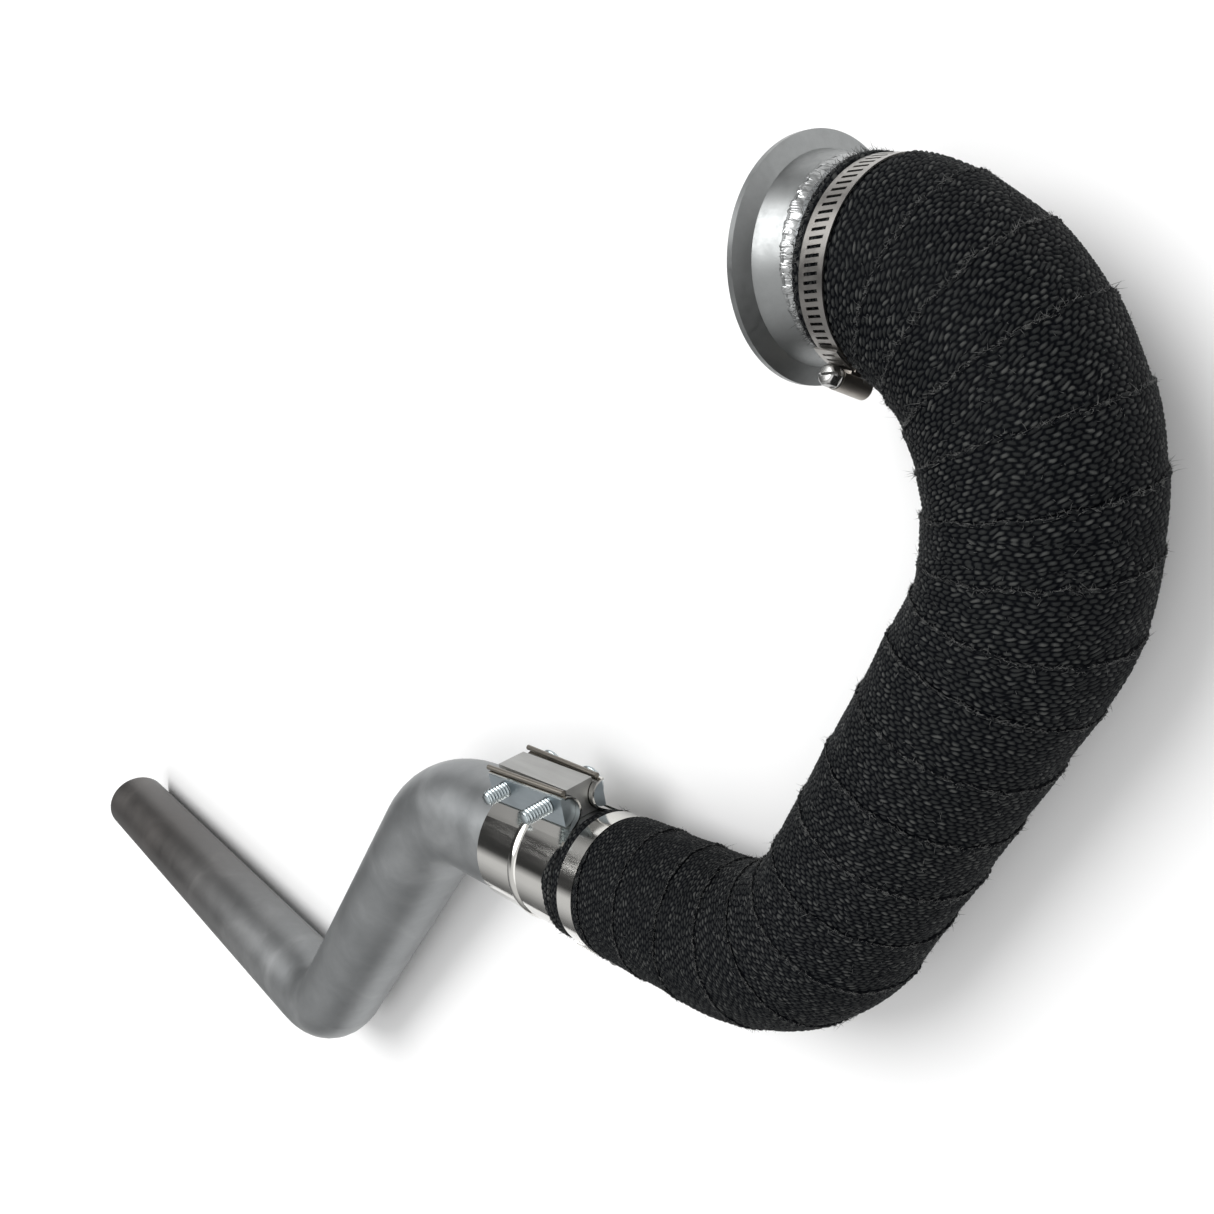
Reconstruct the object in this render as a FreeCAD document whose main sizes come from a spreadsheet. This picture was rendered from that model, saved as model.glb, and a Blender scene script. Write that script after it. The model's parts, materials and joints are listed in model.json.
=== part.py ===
import FreeCAD, Part

import math
import os

import Sketcher
from FreeCAD import Placement, Rotation, Vector

# Heat-wrapped exhaust downpipe: a V-band flange on a bent tube, the tube bound in
# woven heat tape under two worm-drive clamps, and a bare tail pipe butted to it in a
# two-bolt band clamp.  Millimetres and degrees.  The origin is the centre of the
# inlet flange's sealing face, +X runs along the butt joint towards the tail pipe,
# and +Z is up with the pipe lying flat.

SIZES = [
    # tubes and bends
    ("tube_outer", 76.2, "outside diameter of both tubes"),
    ("tube_wall", 1.6, "wall of both tubes"),
    ("bend_radius", 95.0, "centre-line radius of every bend"),
    ("run_flange", 108.5, "flange face to first bend corner"),
    ("run_neck", 127.0, "first to second bend corner"),
    ("run_drop", 228.5, "second to third bend corner"),
    ("run_joint", 324.5, "third to fourth bend corner, across the butt joint"),
    ("run_link", 390.5, "fourth to fifth bend corner"),
    ("run_tail", 656.0, "fifth bend corner to the open end"),
    ("turn_elbow", 90.0, "first bend"),
    ("turn_kink", 26.5, "second bend"),
    ("turn_low", 60.0, "third bend"),
    ("turn_link", 47.0, "fourth bend"),
    ("turn_tail", 49.5, "fifth bend"),
    ("twist_kink", -14.0, "rotation of the tube before the second bend"),
    ("twist_low", 9.0, "rotation before the third bend"),
    ("twist_link", 179.0, "rotation before the fourth bend"),
    ("twist_tail", -178.0, "rotation before the fifth bend"),
    ("lie_heading", 175.59, "direction of the inlet run about +Z"),
    ("lie_pitch", 4.43, "rise of the inlet run above level"),
    ("lie_roll", -173.89, "rotation of the first bend about the inlet run"),
    ("joint_place", 192.0, "third bend corner to the butt joint"),
    ("butt_gap", 0.6, "gap between the butted tube ends"),
    # inlet flange
    ("rim_stand", 12.9, "V-band rim's edge beyond the tube"),
    ("rim_land", 3.4, "thickness of the rim's edge"),
    ("rim_slope", 20.0, "angle of the rim's clamped back face"),
    ("cup_stand", 5.1, "cup's surface beyond the tube, where it meets the rim"),
    ("neck_stand", 1.4, "cup's surface beyond the tube, at the weld"),
    ("flange_length", 20.0, "sealing face to the weld"),
    ("rim_chamfer", 0.5, "chamfer of the rim's edges"),
    ("weld_width", 5.6, "width of the weld bead"),
    ("weld_rise", 1.7, "height of the weld bead above the tube"),
    # heat wrap
    ("wrap_single", 1.8, "thickness of the wrap where a clamp presses it"),
    ("wrap_double", 3.2, "thickness of the overlapped turns"),
    ("wrap_start", 24.0, "flange face to the first turn's edge"),
    ("wrap_gap", 2.0, "last turn's edge to the strap"),
    ("wrap_lap", 1.0, "single turn showing beside a clamp band"),
    ("wrap_pinch", 0.3, "wrap left where the leaning band comes nearest the tube"),
    # worm-drive clamps
    ("band_width", 12.7, "width of a worm-drive band"),
    ("band_thick", 0.7, "thickness of a worm-drive band"),
    ("band_seat", 0.1, "clearance of a band on the pressed wrap"),
    ("upper_band_place", 38.7, "flange face to the upper band, along the tube"),
    ("upper_band_lean", 9.0, "lean of the upper band back to the flange"),
    ("upper_band_side", -3.3, "sideways lean of the upper band"),
    ("upper_band_shift", 0.9, "upper band's centre inside the tube's centre line"),
    ("upper_clock", -20.0, "upper housing's angle from the inside of the bend"),
    ("upper_tail", 26.0, "angle of upper band end beyond the screw"),
    ("upper_slotted", 338.0, "angle at which the upper band's slots end"),
    ("lower_band_place", 52.8, "lower band to the butt joint"),
    ("lower_clock", -100.0, "lower housing's angle from straight up"),
    ("lower_tail", 50.0, "angle of lower band end beyond the screw"),
    ("lower_slotted", 110.0, "angle at which the lower band's slots end"),
    ("lap_flat", 2.0, "angle of the lapped end's flat beyond the housing"),
    ("lap_ramp", 14.0, "angle over which the lapped end comes down"),
    ("slot_pitch", 3.175, "pitch of the worm slots"),
    ("slot_margin", 2.75, "band's edge to a worm slot"),
    ("slot_clear", 4.0, "angle between a band's end and its first slot"),
    ("slot_wide", 1.3, "width of a worm slot"),
    ("slot_slant", 8.0, "slant of a worm slot"),
    ("saddle_thick", 0.8, "thickness of the saddle"),
    ("saddle_inset", 1.5, "angle of the saddle's edge inside the housing"),
    ("housing_long", 17.0, "length of the screw housing"),
    ("housing_leg", 0.75, "thickness of a housing leg beside the band"),
    ("housing_wall", 1.0, "wall of the screw housing"),
    ("worm_outer", 7.1, "thread diameter of the clamp screw"),
    ("worm_play", 0.15, "radial play of the screw in its housing"),
    ("worm_lift", 0.3, "gap between the screw and the band under it"),
    ("layer_gap", 0.05, "gap between the layers under the screw"),
    ("hex_flats", 8.0, "size across the flats of the screw head"),
    ("hex_long", 5.2, "length of the screw head"),
    # joint clamp
    ("strap_wide", 74.0, "width of the strap"),
    ("strap_thick", 1.2, "thickness of the strap"),
    ("strap_play", 0.3, "radial play of the strap on the tubes"),
    ("bead_wide", 8.0, "width of the strap's raised bead"),
    ("bead_rise", 1.3, "height of the strap's raised bead"),
    ("bar_outer", 18.0, "diameter of a clamp bar's round side"),
    ("bar_flat", 1.0, "flat face beyond the bar's centre"),
    ("bar_long", 70.0, "length of a clamp bar"),
    ("bar_waist", 6.1, "strap loop to the middle plane, halfway along"),
    ("bar_splay", 2.3, "angle between a bar and the joint axis"),
    ("bar_dip", 1.1, "bar's surface inside the strap's, radially"),
    ("bar_play", 0.1, "play between a bar and the strap round it"),
    ("loop_end", 88.0, "angle at which the strap ends on top of a bar"),
    ("loop_root", 6.0, "angle of the strap's ring that a loop runs into"),
    ("block_shift", 1.6, "block centre beyond the butt joint"),
    ("block_long", 69.0, "length of the reaction block"),
    ("block_wide", 20.0, "width of the reaction block's top"),
    ("block_stand", 3.0, "top of the block beyond the bars"),
    ("block_play", 0.3, "play between the block and the strap loops"),
    ("block_clock", 79.7, "block's angle from straight up about the joint"),
    ("rod_outer", 3.4, "diameter of a retaining rod"),
    ("rod_long", 73.0, "length of a retaining rod"),
    ("rod_shift", 1.1, "rod centre beyond the block centre"),
    ("rod_inset", 1.9, "rod centre inside the bar centre"),
    ("bolt_size", 10.0, "diameter of the clamp bolts"),
    ("bolt_long", 52.0, "bolt length under the head"),
    ("bolt_rise", 2.0, "bolt axes beyond the bar centres"),
    ("bolt_span", 41.5, "distance between the bolts"),
    ("bolt_shift", 1.8, "middle of the two bolts before the block centre"),
    ("bolt_play", 0.8, "a bolt's hole in the rear bar and the block, over its size"),
    ("tapped_play", 0.1, "radial play of a bolt in the tapped front bar"),
    ("strap_hole_play", 2.5, "a bolt's hole in the strap, over its size"),
    ("head_outer", 21.0, "diameter of a bolt head"),
    ("head_high", 5.5, "height of a bolt head"),
    ("head_seat", 0.1, "clearance under a bolt head"),
]

# What follows from the sizes above, as formulas in the same sheet.
FORMULAS = [
    ("rim_outer", "tube_outer + 2 * rim_stand", "outside diameter of the V-band rim"),
    ("cup_outer", "tube_outer + 2 * cup_stand", "diameter of the cup where it meets the rim"),
    ("neck_outer", "tube_outer + 2 * neck_stand", "diameter of the cup at the weld"),
    ("slot_long", "band_width - 2 * slot_margin", "length of a worm slot"),
    ("housing_wide", "band_width + 2 * (band_seat + housing_leg)", "width of a housing over its legs"),
    ("bar_spread", "bar_outer / 2 + bar_play + strap_thick + bar_waist", "bar centre to the middle plane"),
    ("bar_height", "tube_outer / 2 + strap_play + strap_thick + bar_outer / 2 - bar_dip",
     "joint axis to bar centre"),
    ("block_top", "bar_height + bar_outer / 2 + block_stand", "joint axis to the top of the block"),
    ("bolt_height", "bar_height + bolt_rise", "joint axis to the bolt axes"),
    ("bolt_hole", "bolt_size + bolt_play", "hole for a bolt in the rear bar and the block"),
    ("strap_hole", "bolt_size + strap_hole_play", "hole for a bolt in the strap"),
]

RUNS = ["run_flange", "run_neck", "run_drop", "run_joint", "run_link", "run_tail"]
TURNS = ["turn_elbow", "turn_kink", "turn_low", "turn_link", "turn_tail"]
TWISTS = ["twist_kink", "twist_low", "twist_link", "twist_tail"]
UP = Vector(0, 0, 1)
ORIGIN = Vector(0, 0, 0)

doc = FreeCAD.newDocument("exhaust_downpipe")
sheet = doc.addObject("Spreadsheet::Sheet", "sizes")
for row, (alias, value, meaning) in enumerate(SIZES + FORMULAS, start=1):
    sheet.set("A%d" % row, meaning)
    sheet.set("B%d" % row, "=" + value if isinstance(value, str) else str(value))
    sheet.setAlias("B%d" % row, alias)
doc.recompute()

subparts = []


def size(alias):
    """A driving dimension, as the sheet holds it."""
    return float(sheet.get(alias))


def bound(kind, name, **expressions):
    """A new object with its sizes bound to expressions in the sheet's names."""
    item = doc.addObject(kind, name)
    for prop, text in expressions.items():
        item.setExpression(prop, text)
    return item


def keep(item, label, place=None):
    """Mark an object as a sub-part and give it its name and place."""
    item.Label = label
    if place is not None:
        item.Placement = place
    subparts.append(item)
    return item


def boolean(kind, name, base, tool):
    item = doc.addObject(kind, name)
    item.Base = base
    item.Tool = tool
    return item


def fused(name, shapes):
    item = doc.addObject("Part::MultiFuse", name)
    item.Shapes = shapes
    return item


def frame_at(origin, along, toward):
    """A frame with +Z along a direction and +X towards another."""
    across = toward - along * toward.dot(along)
    across.normalize()
    return Placement(origin, Rotation(across, along.cross(across), along, "ZXY"))


def turned(vector, axle, angle):
    return Rotation(axle, angle).multVec(vector)


# ---------------------------------------------------------------- centre line


def start_directions():
    """Direction of the inlet run, and the direction its first bend heads for."""
    heading = math.radians(size("lie_heading"))
    pitch = math.radians(size("lie_pitch"))
    roll = math.radians(size("lie_roll"))
    ahead = Vector(math.cos(pitch) * math.cos(heading),
                   math.cos(pitch) * math.sin(heading),
                   math.sin(pitch))
    level = UP.cross(ahead)
    level.normalize()
    steep = ahead.cross(level)
    return ahead, level * math.cos(roll) + steep * math.sin(roll)


def bend_table():
    """The corner points, and the tube's direction along each run."""
    ahead, heads = start_directions()
    axle = ahead.cross(heads)
    corners, directions = [ORIGIN], []
    for index, run in enumerate(RUNS):
        directions.append(Vector(ahead))
        corners.append(corners[-1] + ahead * size(run))
        if index < len(TURNS):
            if index > 0:
                axle = turned(axle, ahead, size(TWISTS[index - 1]))
            ahead = turned(ahead, axle, size(TURNS[index]))
    return corners, directions


def centre_line(points):
    """A wire through the points, each inner corner rounded to the bend radius."""
    radius = size("bend_radius")
    edges, start = [], points[0]
    for before, corner, after in zip(points, points[1:], points[2:]):
        arriving = (corner - before).normalize()
        leaving = (after - corner).normalize()
        half = arriving.getAngle(leaving) / 2
        reach = radius * math.tan(half)
        enter, leave = corner - arriving * reach, corner + leaving * reach
        inward = (leaving - arriving).normalize()
        middle = corner + inward * (radius / math.cos(half) - radius)
        edges.append(Part.LineSegment(start, enter).toShape())
        edges.append(Part.Arc(enter, middle, leave).toShape())
        start = leave
    edges.append(Part.LineSegment(start, points[-1]).toShape())
    return Part.Wire(edges)


def line_object(name, points):
    item = doc.addObject("Part::Feature", name)
    item.Shape = centre_line(points)
    return item


corners, directions = bend_table()
inlet_axis, joint_axis = directions[0], directions[3]
inlet_inward = (directions[1] - inlet_axis * directions[1].dot(inlet_axis)).normalize()
flange_frame = frame_at(ORIGIN, inlet_axis, inlet_inward)

joint_centre = corners[3] + joint_axis * size("joint_place")
joint_up = (UP - joint_axis * UP.dot(joint_axis)).normalize()
block_out = turned(joint_up, joint_axis, size("block_clock"))
# In the joint frame +Z runs to the tail, +Y out through the block, and +X to the
# side on which the bolts' threaded ends stand out.
joint_frame = Placement(joint_centre, Rotation(block_out.cross(joint_axis), block_out, joint_axis, "ZYX"))


def before_joint(distance):
    return joint_centre - joint_axis * distance


wrap_end = size("strap_wide") / 2 + size("wrap_gap")
thick_end = size("lower_band_place") + size("band_width") / 2 + size("wrap_lap")
downpipe_line = line_object("downpipe_line", corners[:4] + [before_joint(size("butt_gap") / 2)])
wrap_line = line_object("wrap_line", corners[:4] + [before_joint(wrap_end)])
thick_line = line_object("thick_line", corners[:4] + [before_joint(thick_end)])
tail_line = line_object("tail_line", [before_joint(-size("butt_gap") / 2)] + corners[4:])


def swept(name, line, radius):
    """A solid rod of a radius, an expression, along a centre line."""
    first = line.Shape.Edges[0]
    along = first.tangentAt(first.FirstParameter)
    ring = bound("Part::Circle", name + "_ring", Radius=radius)
    ring.Placement = Placement(first.valueAt(first.FirstParameter), Rotation(UP, along))
    rod = doc.addObject("Part::Sweep", name)
    rod.Sections = [ring]
    rod.Spine = (line, ["Edge%d" % (number + 1) for number in range(len(line.Shape.Edges))])
    rod.Solid = True
    rod.Frenet = False
    return rod


def station(line, distance):
    """Point, direction and inward direction of a centre line at a distance along it."""
    for edge in line.Shape.Edges:
        if distance <= edge.Length:
            param = edge.getParameterByLength(distance)
            inward = edge.normalAt(param) if hasattr(edge.Curve, "Radius") else inlet_inward
            return edge.valueAt(param), edge.tangentAt(param), inward
        distance -= edge.Length
    raise ValueError("no such station on " + line.Name)


# ---------------------------------------------------------------- inlet flange


def add_segment(sketch, start, end):
    return sketch.addGeometry(Part.LineSegment(Vector(*start, 0), Vector(*end, 0)), False)


def profile(body, name, points):
    """A closed profile in the body's XZ plane, each corner bound to two expressions."""
    sketch = body.newObject("Sketcher::SketchObject", name)
    plane = [item for item in body.Origin.OriginFeatures if item.Role == "XZ_Plane"][0]
    sketch.AttachmentSupport = (plane, [""])
    sketch.MapMode = "FlatFace"
    places = [(float(10 + 7 * index), float(3 + 5 * index)) for index in range(len(points))]
    for index, start in enumerate(places):
        add_segment(sketch, start, places[(index + 1) % len(places)])
    for index in range(len(points)):
        follower = (index + 1) % len(points)
        sketch.addConstraint(Sketcher.Constraint("Coincident", index, 2, follower, 1))
    for index, (across, along) in enumerate(points):
        for kind, text, axis in (("DistanceX", across, -2), ("DistanceY", along, -1)):
            if text == "0":
                sketch.addConstraint(Sketcher.Constraint("PointOnObject", index, 1, axis))
            else:
                number = sketch.addConstraint(Sketcher.Constraint(kind, -1, 1, index, 1, 1.0))
                sketch.setExpression("Constraints[%d]" % number, text)
    return sketch


def revolved(body, sketch):
    """The sketch turned full circle about the body's Z axis."""
    solid = body.newObject("PartDesign::Revolution", sketch.Name + "_revolution")
    solid.Profile = sketch
    solid.ReferenceAxis = (sketch, ["V_Axis"])
    solid.Angle = 360.0
    return solid


def inlet_flange():
    body = doc.addObject("PartDesign::Body", "flange_body")
    slope_run = "sizes.rim_land + (sizes.rim_outer - sizes.cup_outer) / 2 * tan(sizes.rim_slope * 1 deg)"
    sketch = profile(body, "flange_profile", [
        ("sizes.tube_outer / 2 - sizes.tube_wall", "0"),
        ("sizes.rim_outer / 2 - sizes.rim_chamfer", "0"),
        ("sizes.rim_outer / 2", "sizes.rim_chamfer"),
        ("sizes.rim_outer / 2", "sizes.rim_land"),
        ("sizes.cup_outer / 2", slope_run),
        ("sizes.neck_outer / 2", "sizes.flange_length - 3 * sizes.rim_chamfer"),
        ("sizes.neck_outer / 2", "sizes.flange_length"),
        ("sizes.tube_outer / 2 - sizes.tube_wall", "sizes.flange_length"),
    ])
    revolved(body, sketch)
    return keep(body, "inlet_flange", flange_frame)


def flange_side_trim(name, length, place=flange_frame):
    """A disc that clears everything on the flange's side of a plane."""
    depth = "2 * sizes.rim_outer"
    trim = bound("Part::Cylinder", name, Radius="sizes.rim_outer", Height=depth + " + " + length)
    trim.Placement = place.multiply(Placement(Vector(0, 0, -2 * size("rim_outer")), Rotation()))
    return trim


def downpipe_tube():
    outer = swept("downpipe_outer", downpipe_line, "sizes.tube_outer / 2")
    inner = swept("downpipe_inner", downpipe_line, "sizes.tube_outer / 2 - sizes.tube_wall")
    hollow = boolean("Part::Cut", "downpipe_hollow", outer, inner)
    trim = flange_side_trim("downpipe_trim", "sizes.flange_length")
    return keep(boolean("Part::Cut", "downpipe_cut", hollow, trim), "downpipe_tube")


def flange_weld_bead():
    """A rounded fillet ring over the seam between flange and tube."""
    ring = bound("Part::Torus", "weld_ring",
                 Radius1="sizes.tube_outer / 2 + sizes.weld_rise - sizes.weld_width / 2",
                 Radius2="sizes.weld_width / 2")
    ring.Placement = flange_frame.multiply(Placement(Vector(0, 0, size("flange_length")), Rotation()))
    flange_side = bound("Part::Cylinder", "weld_flange_side",
                        Radius="sizes.neck_outer / 2", Height="sizes.flange_length")
    flange_side.Placement = flange_frame
    tube_side = swept("weld_tube_side", downpipe_line, "sizes.tube_outer / 2")
    clear = boolean("Part::Cut", "weld_clear_of_neck", ring, flange_side)
    return keep(boolean("Part::Cut", "weld_cut", clear, tube_side), "flange_weld_bead")


# ---------------------------------------------------------------- worm-drive clamps


def upper_band_frame():
    """Frame of the upper band: +Z along its axis, +X out through its housing."""
    centre, along, inward = station(downpipe_line, size("upper_band_place"))
    side = along.cross(inward)
    axis = turned(along, side, -size("upper_band_lean"))
    axis = turned(axis, inward, -size("upper_band_side"))
    frame = frame_at(centre, axis, inward)
    shift = Placement(Vector(size("upper_band_shift"), 0, 0), Rotation(UP, size("upper_clock")))
    return frame.multiply(shift)


def lower_band_frame():
    centre = before_joint(size("lower_band_place"))
    return frame_at(centre, -joint_axis, turned(joint_up, joint_axis, size("lower_clock")))


def polar(radius, angle, height=0.0):
    turn = math.radians(angle)
    return Vector(radius * math.cos(turn), radius * math.sin(turn), height)


def arc_edge(radius, first, last, centre=ORIGIN):
    points = [polar(radius, first + (last - first) * share) + centre for share in (0, 0.5, 1)]
    return Part.Arc(*points).toShape()


def line_edge(start, end):
    return Part.LineSegment(start, end).toShape()


def extruded(edges, length, below):
    face = Part.Face(Part.Wire(edges))
    face.translate(Vector(0, 0, -below))
    return face.extrude(Vector(0, 0, length))


def lower_band_radius():
    """Inner radius of the lower band, square on the pressed wrap."""
    return size("tube_outer") / 2 + size("wrap_single") + size("band_seat")


def upper_band_radius(frame):
    """Inner radius that clears the bent tube leaning inside the upper band."""
    to_band, half = frame.inverse(), size("band_width") / 2 + size("band_seat")
    widest, steps = 0.0, int(size("tube_outer"))
    for step in range(-steps, steps + 1):
        centre, along, inward = station(downpipe_line, size("upper_band_place") + step / 2)
        for angle in range(0, 360, 3):
            spoke = turned(inward, along, angle) * (size("tube_outer") / 2)
            point = to_band.multVec(centre + spoke)
            if abs(point.z) <= half:
                widest = max(widest, math.hypot(point.x, point.y))
    return widest + size("wrap_pinch")


class Layers:
    """Radii of what lies one over another under a clamp's screw."""

    def __init__(self, band_inner):
        gap, thick = size("layer_gap"), size("band_thick")
        self.band = band_inner
        self.ring = band_inner + thick
        self.saddle = self.ring + gap
        self.lap = self.saddle + size("saddle_thick") + gap
        self.lap_top = self.lap + thick
        self.deck = self.lap_top + gap
        self.screw = self.lap_top + size("worm_lift") + size("worm_outer") / 2
        self.half_angle = math.degrees(math.atan(size("housing_long") / 2 / band_inner))


def band_strip(layers, tail):
    """One strip: a full ring, then a ramp up and a lapped end under the screw."""
    width, middle = size("band_width"), (layers.band + layers.ring) / 2
    ring = Part.makeCylinder(layers.ring, width, Vector(0, 0, -width / 2))
    ring = ring.cut(Part.makeCylinder(layers.band, width, Vector(0, 0, -width / 2)))
    flat = layers.half_angle + size("lap_flat")
    ramp = flat + size("lap_ramp")
    lap = extruded([
        arc_edge(layers.lap_top, -tail, flat),
        line_edge(polar(layers.lap_top, flat), polar(layers.ring, ramp)),
        line_edge(polar(layers.ring, ramp), polar(middle, ramp)),
        arc_edge(middle, ramp, ramp - size("lap_ramp") / 5),
        line_edge(polar(middle, ramp - size("lap_ramp") / 5), polar(layers.lap, flat)),
        arc_edge(layers.lap, flat, -tail),
        line_edge(polar(layers.lap, -tail), polar(layers.lap_top, -tail)),
    ], width, width / 2)
    return ring.fuse(lap).removeSplitter()


def worm_slots(radius, first, last):
    """Tools for the slanted slots through a layer of the band, between two angles."""
    step = math.degrees(size("slot_pitch") / radius)
    slots = []
    for number in range(int((last - first) / step)):
        slot = Part.makeBox(2 * size("band_thick"), size("slot_wide"), size("slot_long"))
        slot.translate(Vector(-size("band_thick"), -size("slot_wide") / 2, -size("slot_long") / 2))
        slot.rotate(ORIGIN, Vector(1, 0, 0), size("slot_slant"))
        slot.translate(Vector(radius + size("band_thick") / 2, 0, 0))
        slot.rotate(ORIGIN, UP, first + step * number)
        slots.append(slot)
    return slots


def clamp_band(label, frame, layers, tail, slotted_to):
    """A band slotted through its lapped end and some way on round the ring."""
    ring_start = layers.half_angle + size("lap_flat") + size("lap_ramp") + size("slot_clear")
    slots = worm_slots(layers.lap, size("slot_clear") - tail, layers.half_angle)
    slots += worm_slots(layers.band, ring_start, slotted_to)
    band = doc.addObject("Part::Feature", label + "_strip")
    band.Shape = band_strip(layers, tail).cut(Part.makeCompound(slots))
    return keep(band, label, frame)


def clamp_saddle(label, frame, layers):
    """The curved plate between the two layers of the band, under the screw."""
    half = layers.half_angle - size("saddle_inset")
    low, high = layers.saddle, layers.saddle + size("saddle_thick")
    edges = [
        arc_edge(high, -half, half),
        line_edge(polar(high, half), polar(low, half)),
        arc_edge(low, half, -half),
        line_edge(polar(low, -half), polar(high, -half)),
    ]
    saddle = doc.addObject("Part::Feature", label + "_plate")
    saddle.Shape = extruded(edges, size("band_width"), size("band_width") / 2)
    return keep(saddle, label, frame)


def tangent_cylinder(name, radius, length, at_radius, start):
    """A cylinder across the band's axis, at a distance from it."""
    item = bound("Part::Cylinder", name, Radius=radius, Height=length)
    item.Placement = Placement(Vector(at_radius, start, 0), Rotation(UP, Vector(0, 1, 0)))
    return item


def local_box(name, corner, **expressions):
    item = bound("Part::Box", name, **expressions)
    item.Placement = Placement(corner, Rotation())
    return item


def clamp_housing(label, frame, layers):
    """The stamped cover: a barrel over the screw, a deck, and legs down the band's edges."""
    long, wide, wall = size("housing_long"), size("housing_wide"), size("housing_wall")
    bore = "sizes.worm_outer / 2 + sizes.worm_play"
    cheek = size("worm_outer") / 2 + size("worm_play") + wall
    barrel = tangent_cylinder(label + "_barrel", bore + " + sizes.housing_wall",
                              "sizes.housing_long", layers.screw, -long / 2)
    cheeks = local_box(label + "_cheeks", Vector(layers.deck, -long / 2, -cheek),
                       Width="sizes.housing_long",
                       Height="sizes.worm_outer + 2 * sizes.worm_play + 2 * sizes.housing_wall")
    cheeks.Length = layers.screw - layers.deck
    deck = local_box(label + "_deck", Vector(layers.deck, -long / 2, -wide / 2),
                     Length="1.2 * sizes.housing_wall", Width="sizes.housing_long",
                     Height="sizes.housing_wide")
    band_edge = size("band_width") / 2 + size("band_seat")
    legs = []
    for side, low in (("left", -wide / 2), ("right", band_edge)):
        leg = local_box(label + "_leg_" + side, Vector(layers.ring, 2 * wall - long / 2, low),
                        Width="sizes.housing_long - 4 * sizes.housing_wall",
                        Height="(sizes.housing_wide - sizes.band_width) / 2 - sizes.band_seat")
        leg.Length = layers.deck + wall - layers.ring
        legs.append(leg)
    solid = fused(label + "_solid", [barrel, cheeks, deck] + legs)
    hole = tangent_cylinder(label + "_bore", bore, "sizes.housing_long", layers.screw, -long / 2)
    below = local_box(label + "_band_space", Vector(0, -long, -band_edge),
                      Width="2 * sizes.housing_long", Height="sizes.band_width + 2 * sizes.band_seat")
    below.Length = layers.deck
    window = local_box(label + "_window", Vector(layers.deck - wall, 2 * wall - long / 2, -2.5 * wall),
                       Length="3 * sizes.housing_wall", Width="sizes.housing_long - 4 * sizes.housing_wall",
                       Height="5 * sizes.housing_wall")
    cutters = fused(label + "_cutters", [hole, below, window])
    return keep(boolean("Part::Cut", label + "_cut", solid, cutters), label, frame)


def clamp_screw(label, frame, layers):
    """The worm screw: shank, collar, and a slotted hexagon head."""
    half, wall, out = size("housing_long") / 2, size("housing_wall"), layers.screw
    shank = tangent_cylinder(label + "_shank", "sizes.worm_outer / 2",
                             "sizes.housing_long + 2 * sizes.housing_wall", out, -half - wall)
    collar_low = -half - size("worm_play") - wall
    collar = tangent_cylinder(label + "_collar", "(sizes.hex_flats + sizes.housing_wall) / 2",
                              "sizes.housing_wall", out, collar_low)
    head = bound("Part::Prism", label + "_head", Circumradius="sizes.hex_flats / sqrt(3)",
                 Height="sizes.hex_long")
    head.Polygon = 6
    head_low = collar_low - size("hex_long")
    head.Placement = Placement(Vector(out, head_low, 0), Rotation(UP, Vector(0, 1, 0)))
    groove = local_box(label + "_groove", Vector(out - size("hex_flats"), head_low, -0.6 * wall),
                       Length="2 * sizes.hex_flats", Width="sizes.hex_long / 2",
                       Height="1.2 * sizes.housing_wall")
    solid = fused(label + "_solid", [shank, collar, head])
    return keep(boolean("Part::Cut", label + "_cut", solid, groove), label, frame)


def worm_clamp(prefix, frame, band_inner, tail, slotted_to):
    layers = Layers(band_inner)
    clamp_band(prefix + "_clamp_band", frame, layers, tail, slotted_to)
    clamp_saddle(prefix + "_clamp_saddle", frame, layers)
    clamp_housing(prefix + "_clamp_housing", frame, layers)
    clamp_screw(prefix + "_clamp_screw", frame, layers)


# ---------------------------------------------------------------- heat wrap


def heat_wrap(upper_frame, upper_radius):
    """Closed soft solid of the bound turns, thinner where the clamps press it."""
    half = size("housing_wide") / 2 + 2 * size("band_seat")
    edge = upper_frame.multiply(Placement(Vector(0, 0, half), Rotation()))
    thick = swept("wrap_thick_turns", thick_line, "sizes.tube_outer / 2 + sizes.wrap_double")
    thick_trim = flange_side_trim("wrap_thick_trim", "0", edge)
    thick_turns = boolean("Part::Cut", "wrap_thick_trimmed", thick, thick_trim)
    thin = swept("wrap_thin_turns", wrap_line, "sizes.tube_outer / 2 + sizes.wrap_single")
    thin_trim = flange_side_trim("wrap_thin_trim", "sizes.wrap_start")
    thin_turns = boolean("Part::Cut", "wrap_thin_trimmed", thin, thin_trim)
    tube = swept("wrap_tube", downpipe_line, "sizes.tube_outer / 2")
    sleeve = boolean("Part::Cut", "wrap_sleeve", fused("wrap_turns", [thick_turns, thin_turns]), tube)
    seat_height = "sizes.housing_wide + 4 * sizes.band_seat"
    seat_outer = bound("Part::Cylinder", "wrap_seat_outer", Radius="sizes.rim_outer / 2", Height=seat_height)
    seat_inner = bound("Part::Cylinder", "wrap_seat_inner", Height=seat_height)
    seat_inner.Radius = upper_radius - size("band_seat")
    for item in (seat_outer, seat_inner):
        item.Placement = upper_frame.multiply(Placement(Vector(0, 0, -half), Rotation()))
    seat = boolean("Part::Cut", "wrap_seat", seat_outer, seat_inner)
    return keep(boolean("Part::Cut", "wrap_cut", sleeve, seat), "heat_wrap")


# ---------------------------------------------------------------- joint clamp


def splayed(side):
    """The small swing of a bar, its rod and its strap loop about the block."""
    middle = Vector(0, 0, size("block_shift"))
    return Placement(ORIGIN, Rotation(Vector(0, 1, 0), side * size("bar_splay")), middle)


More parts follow.
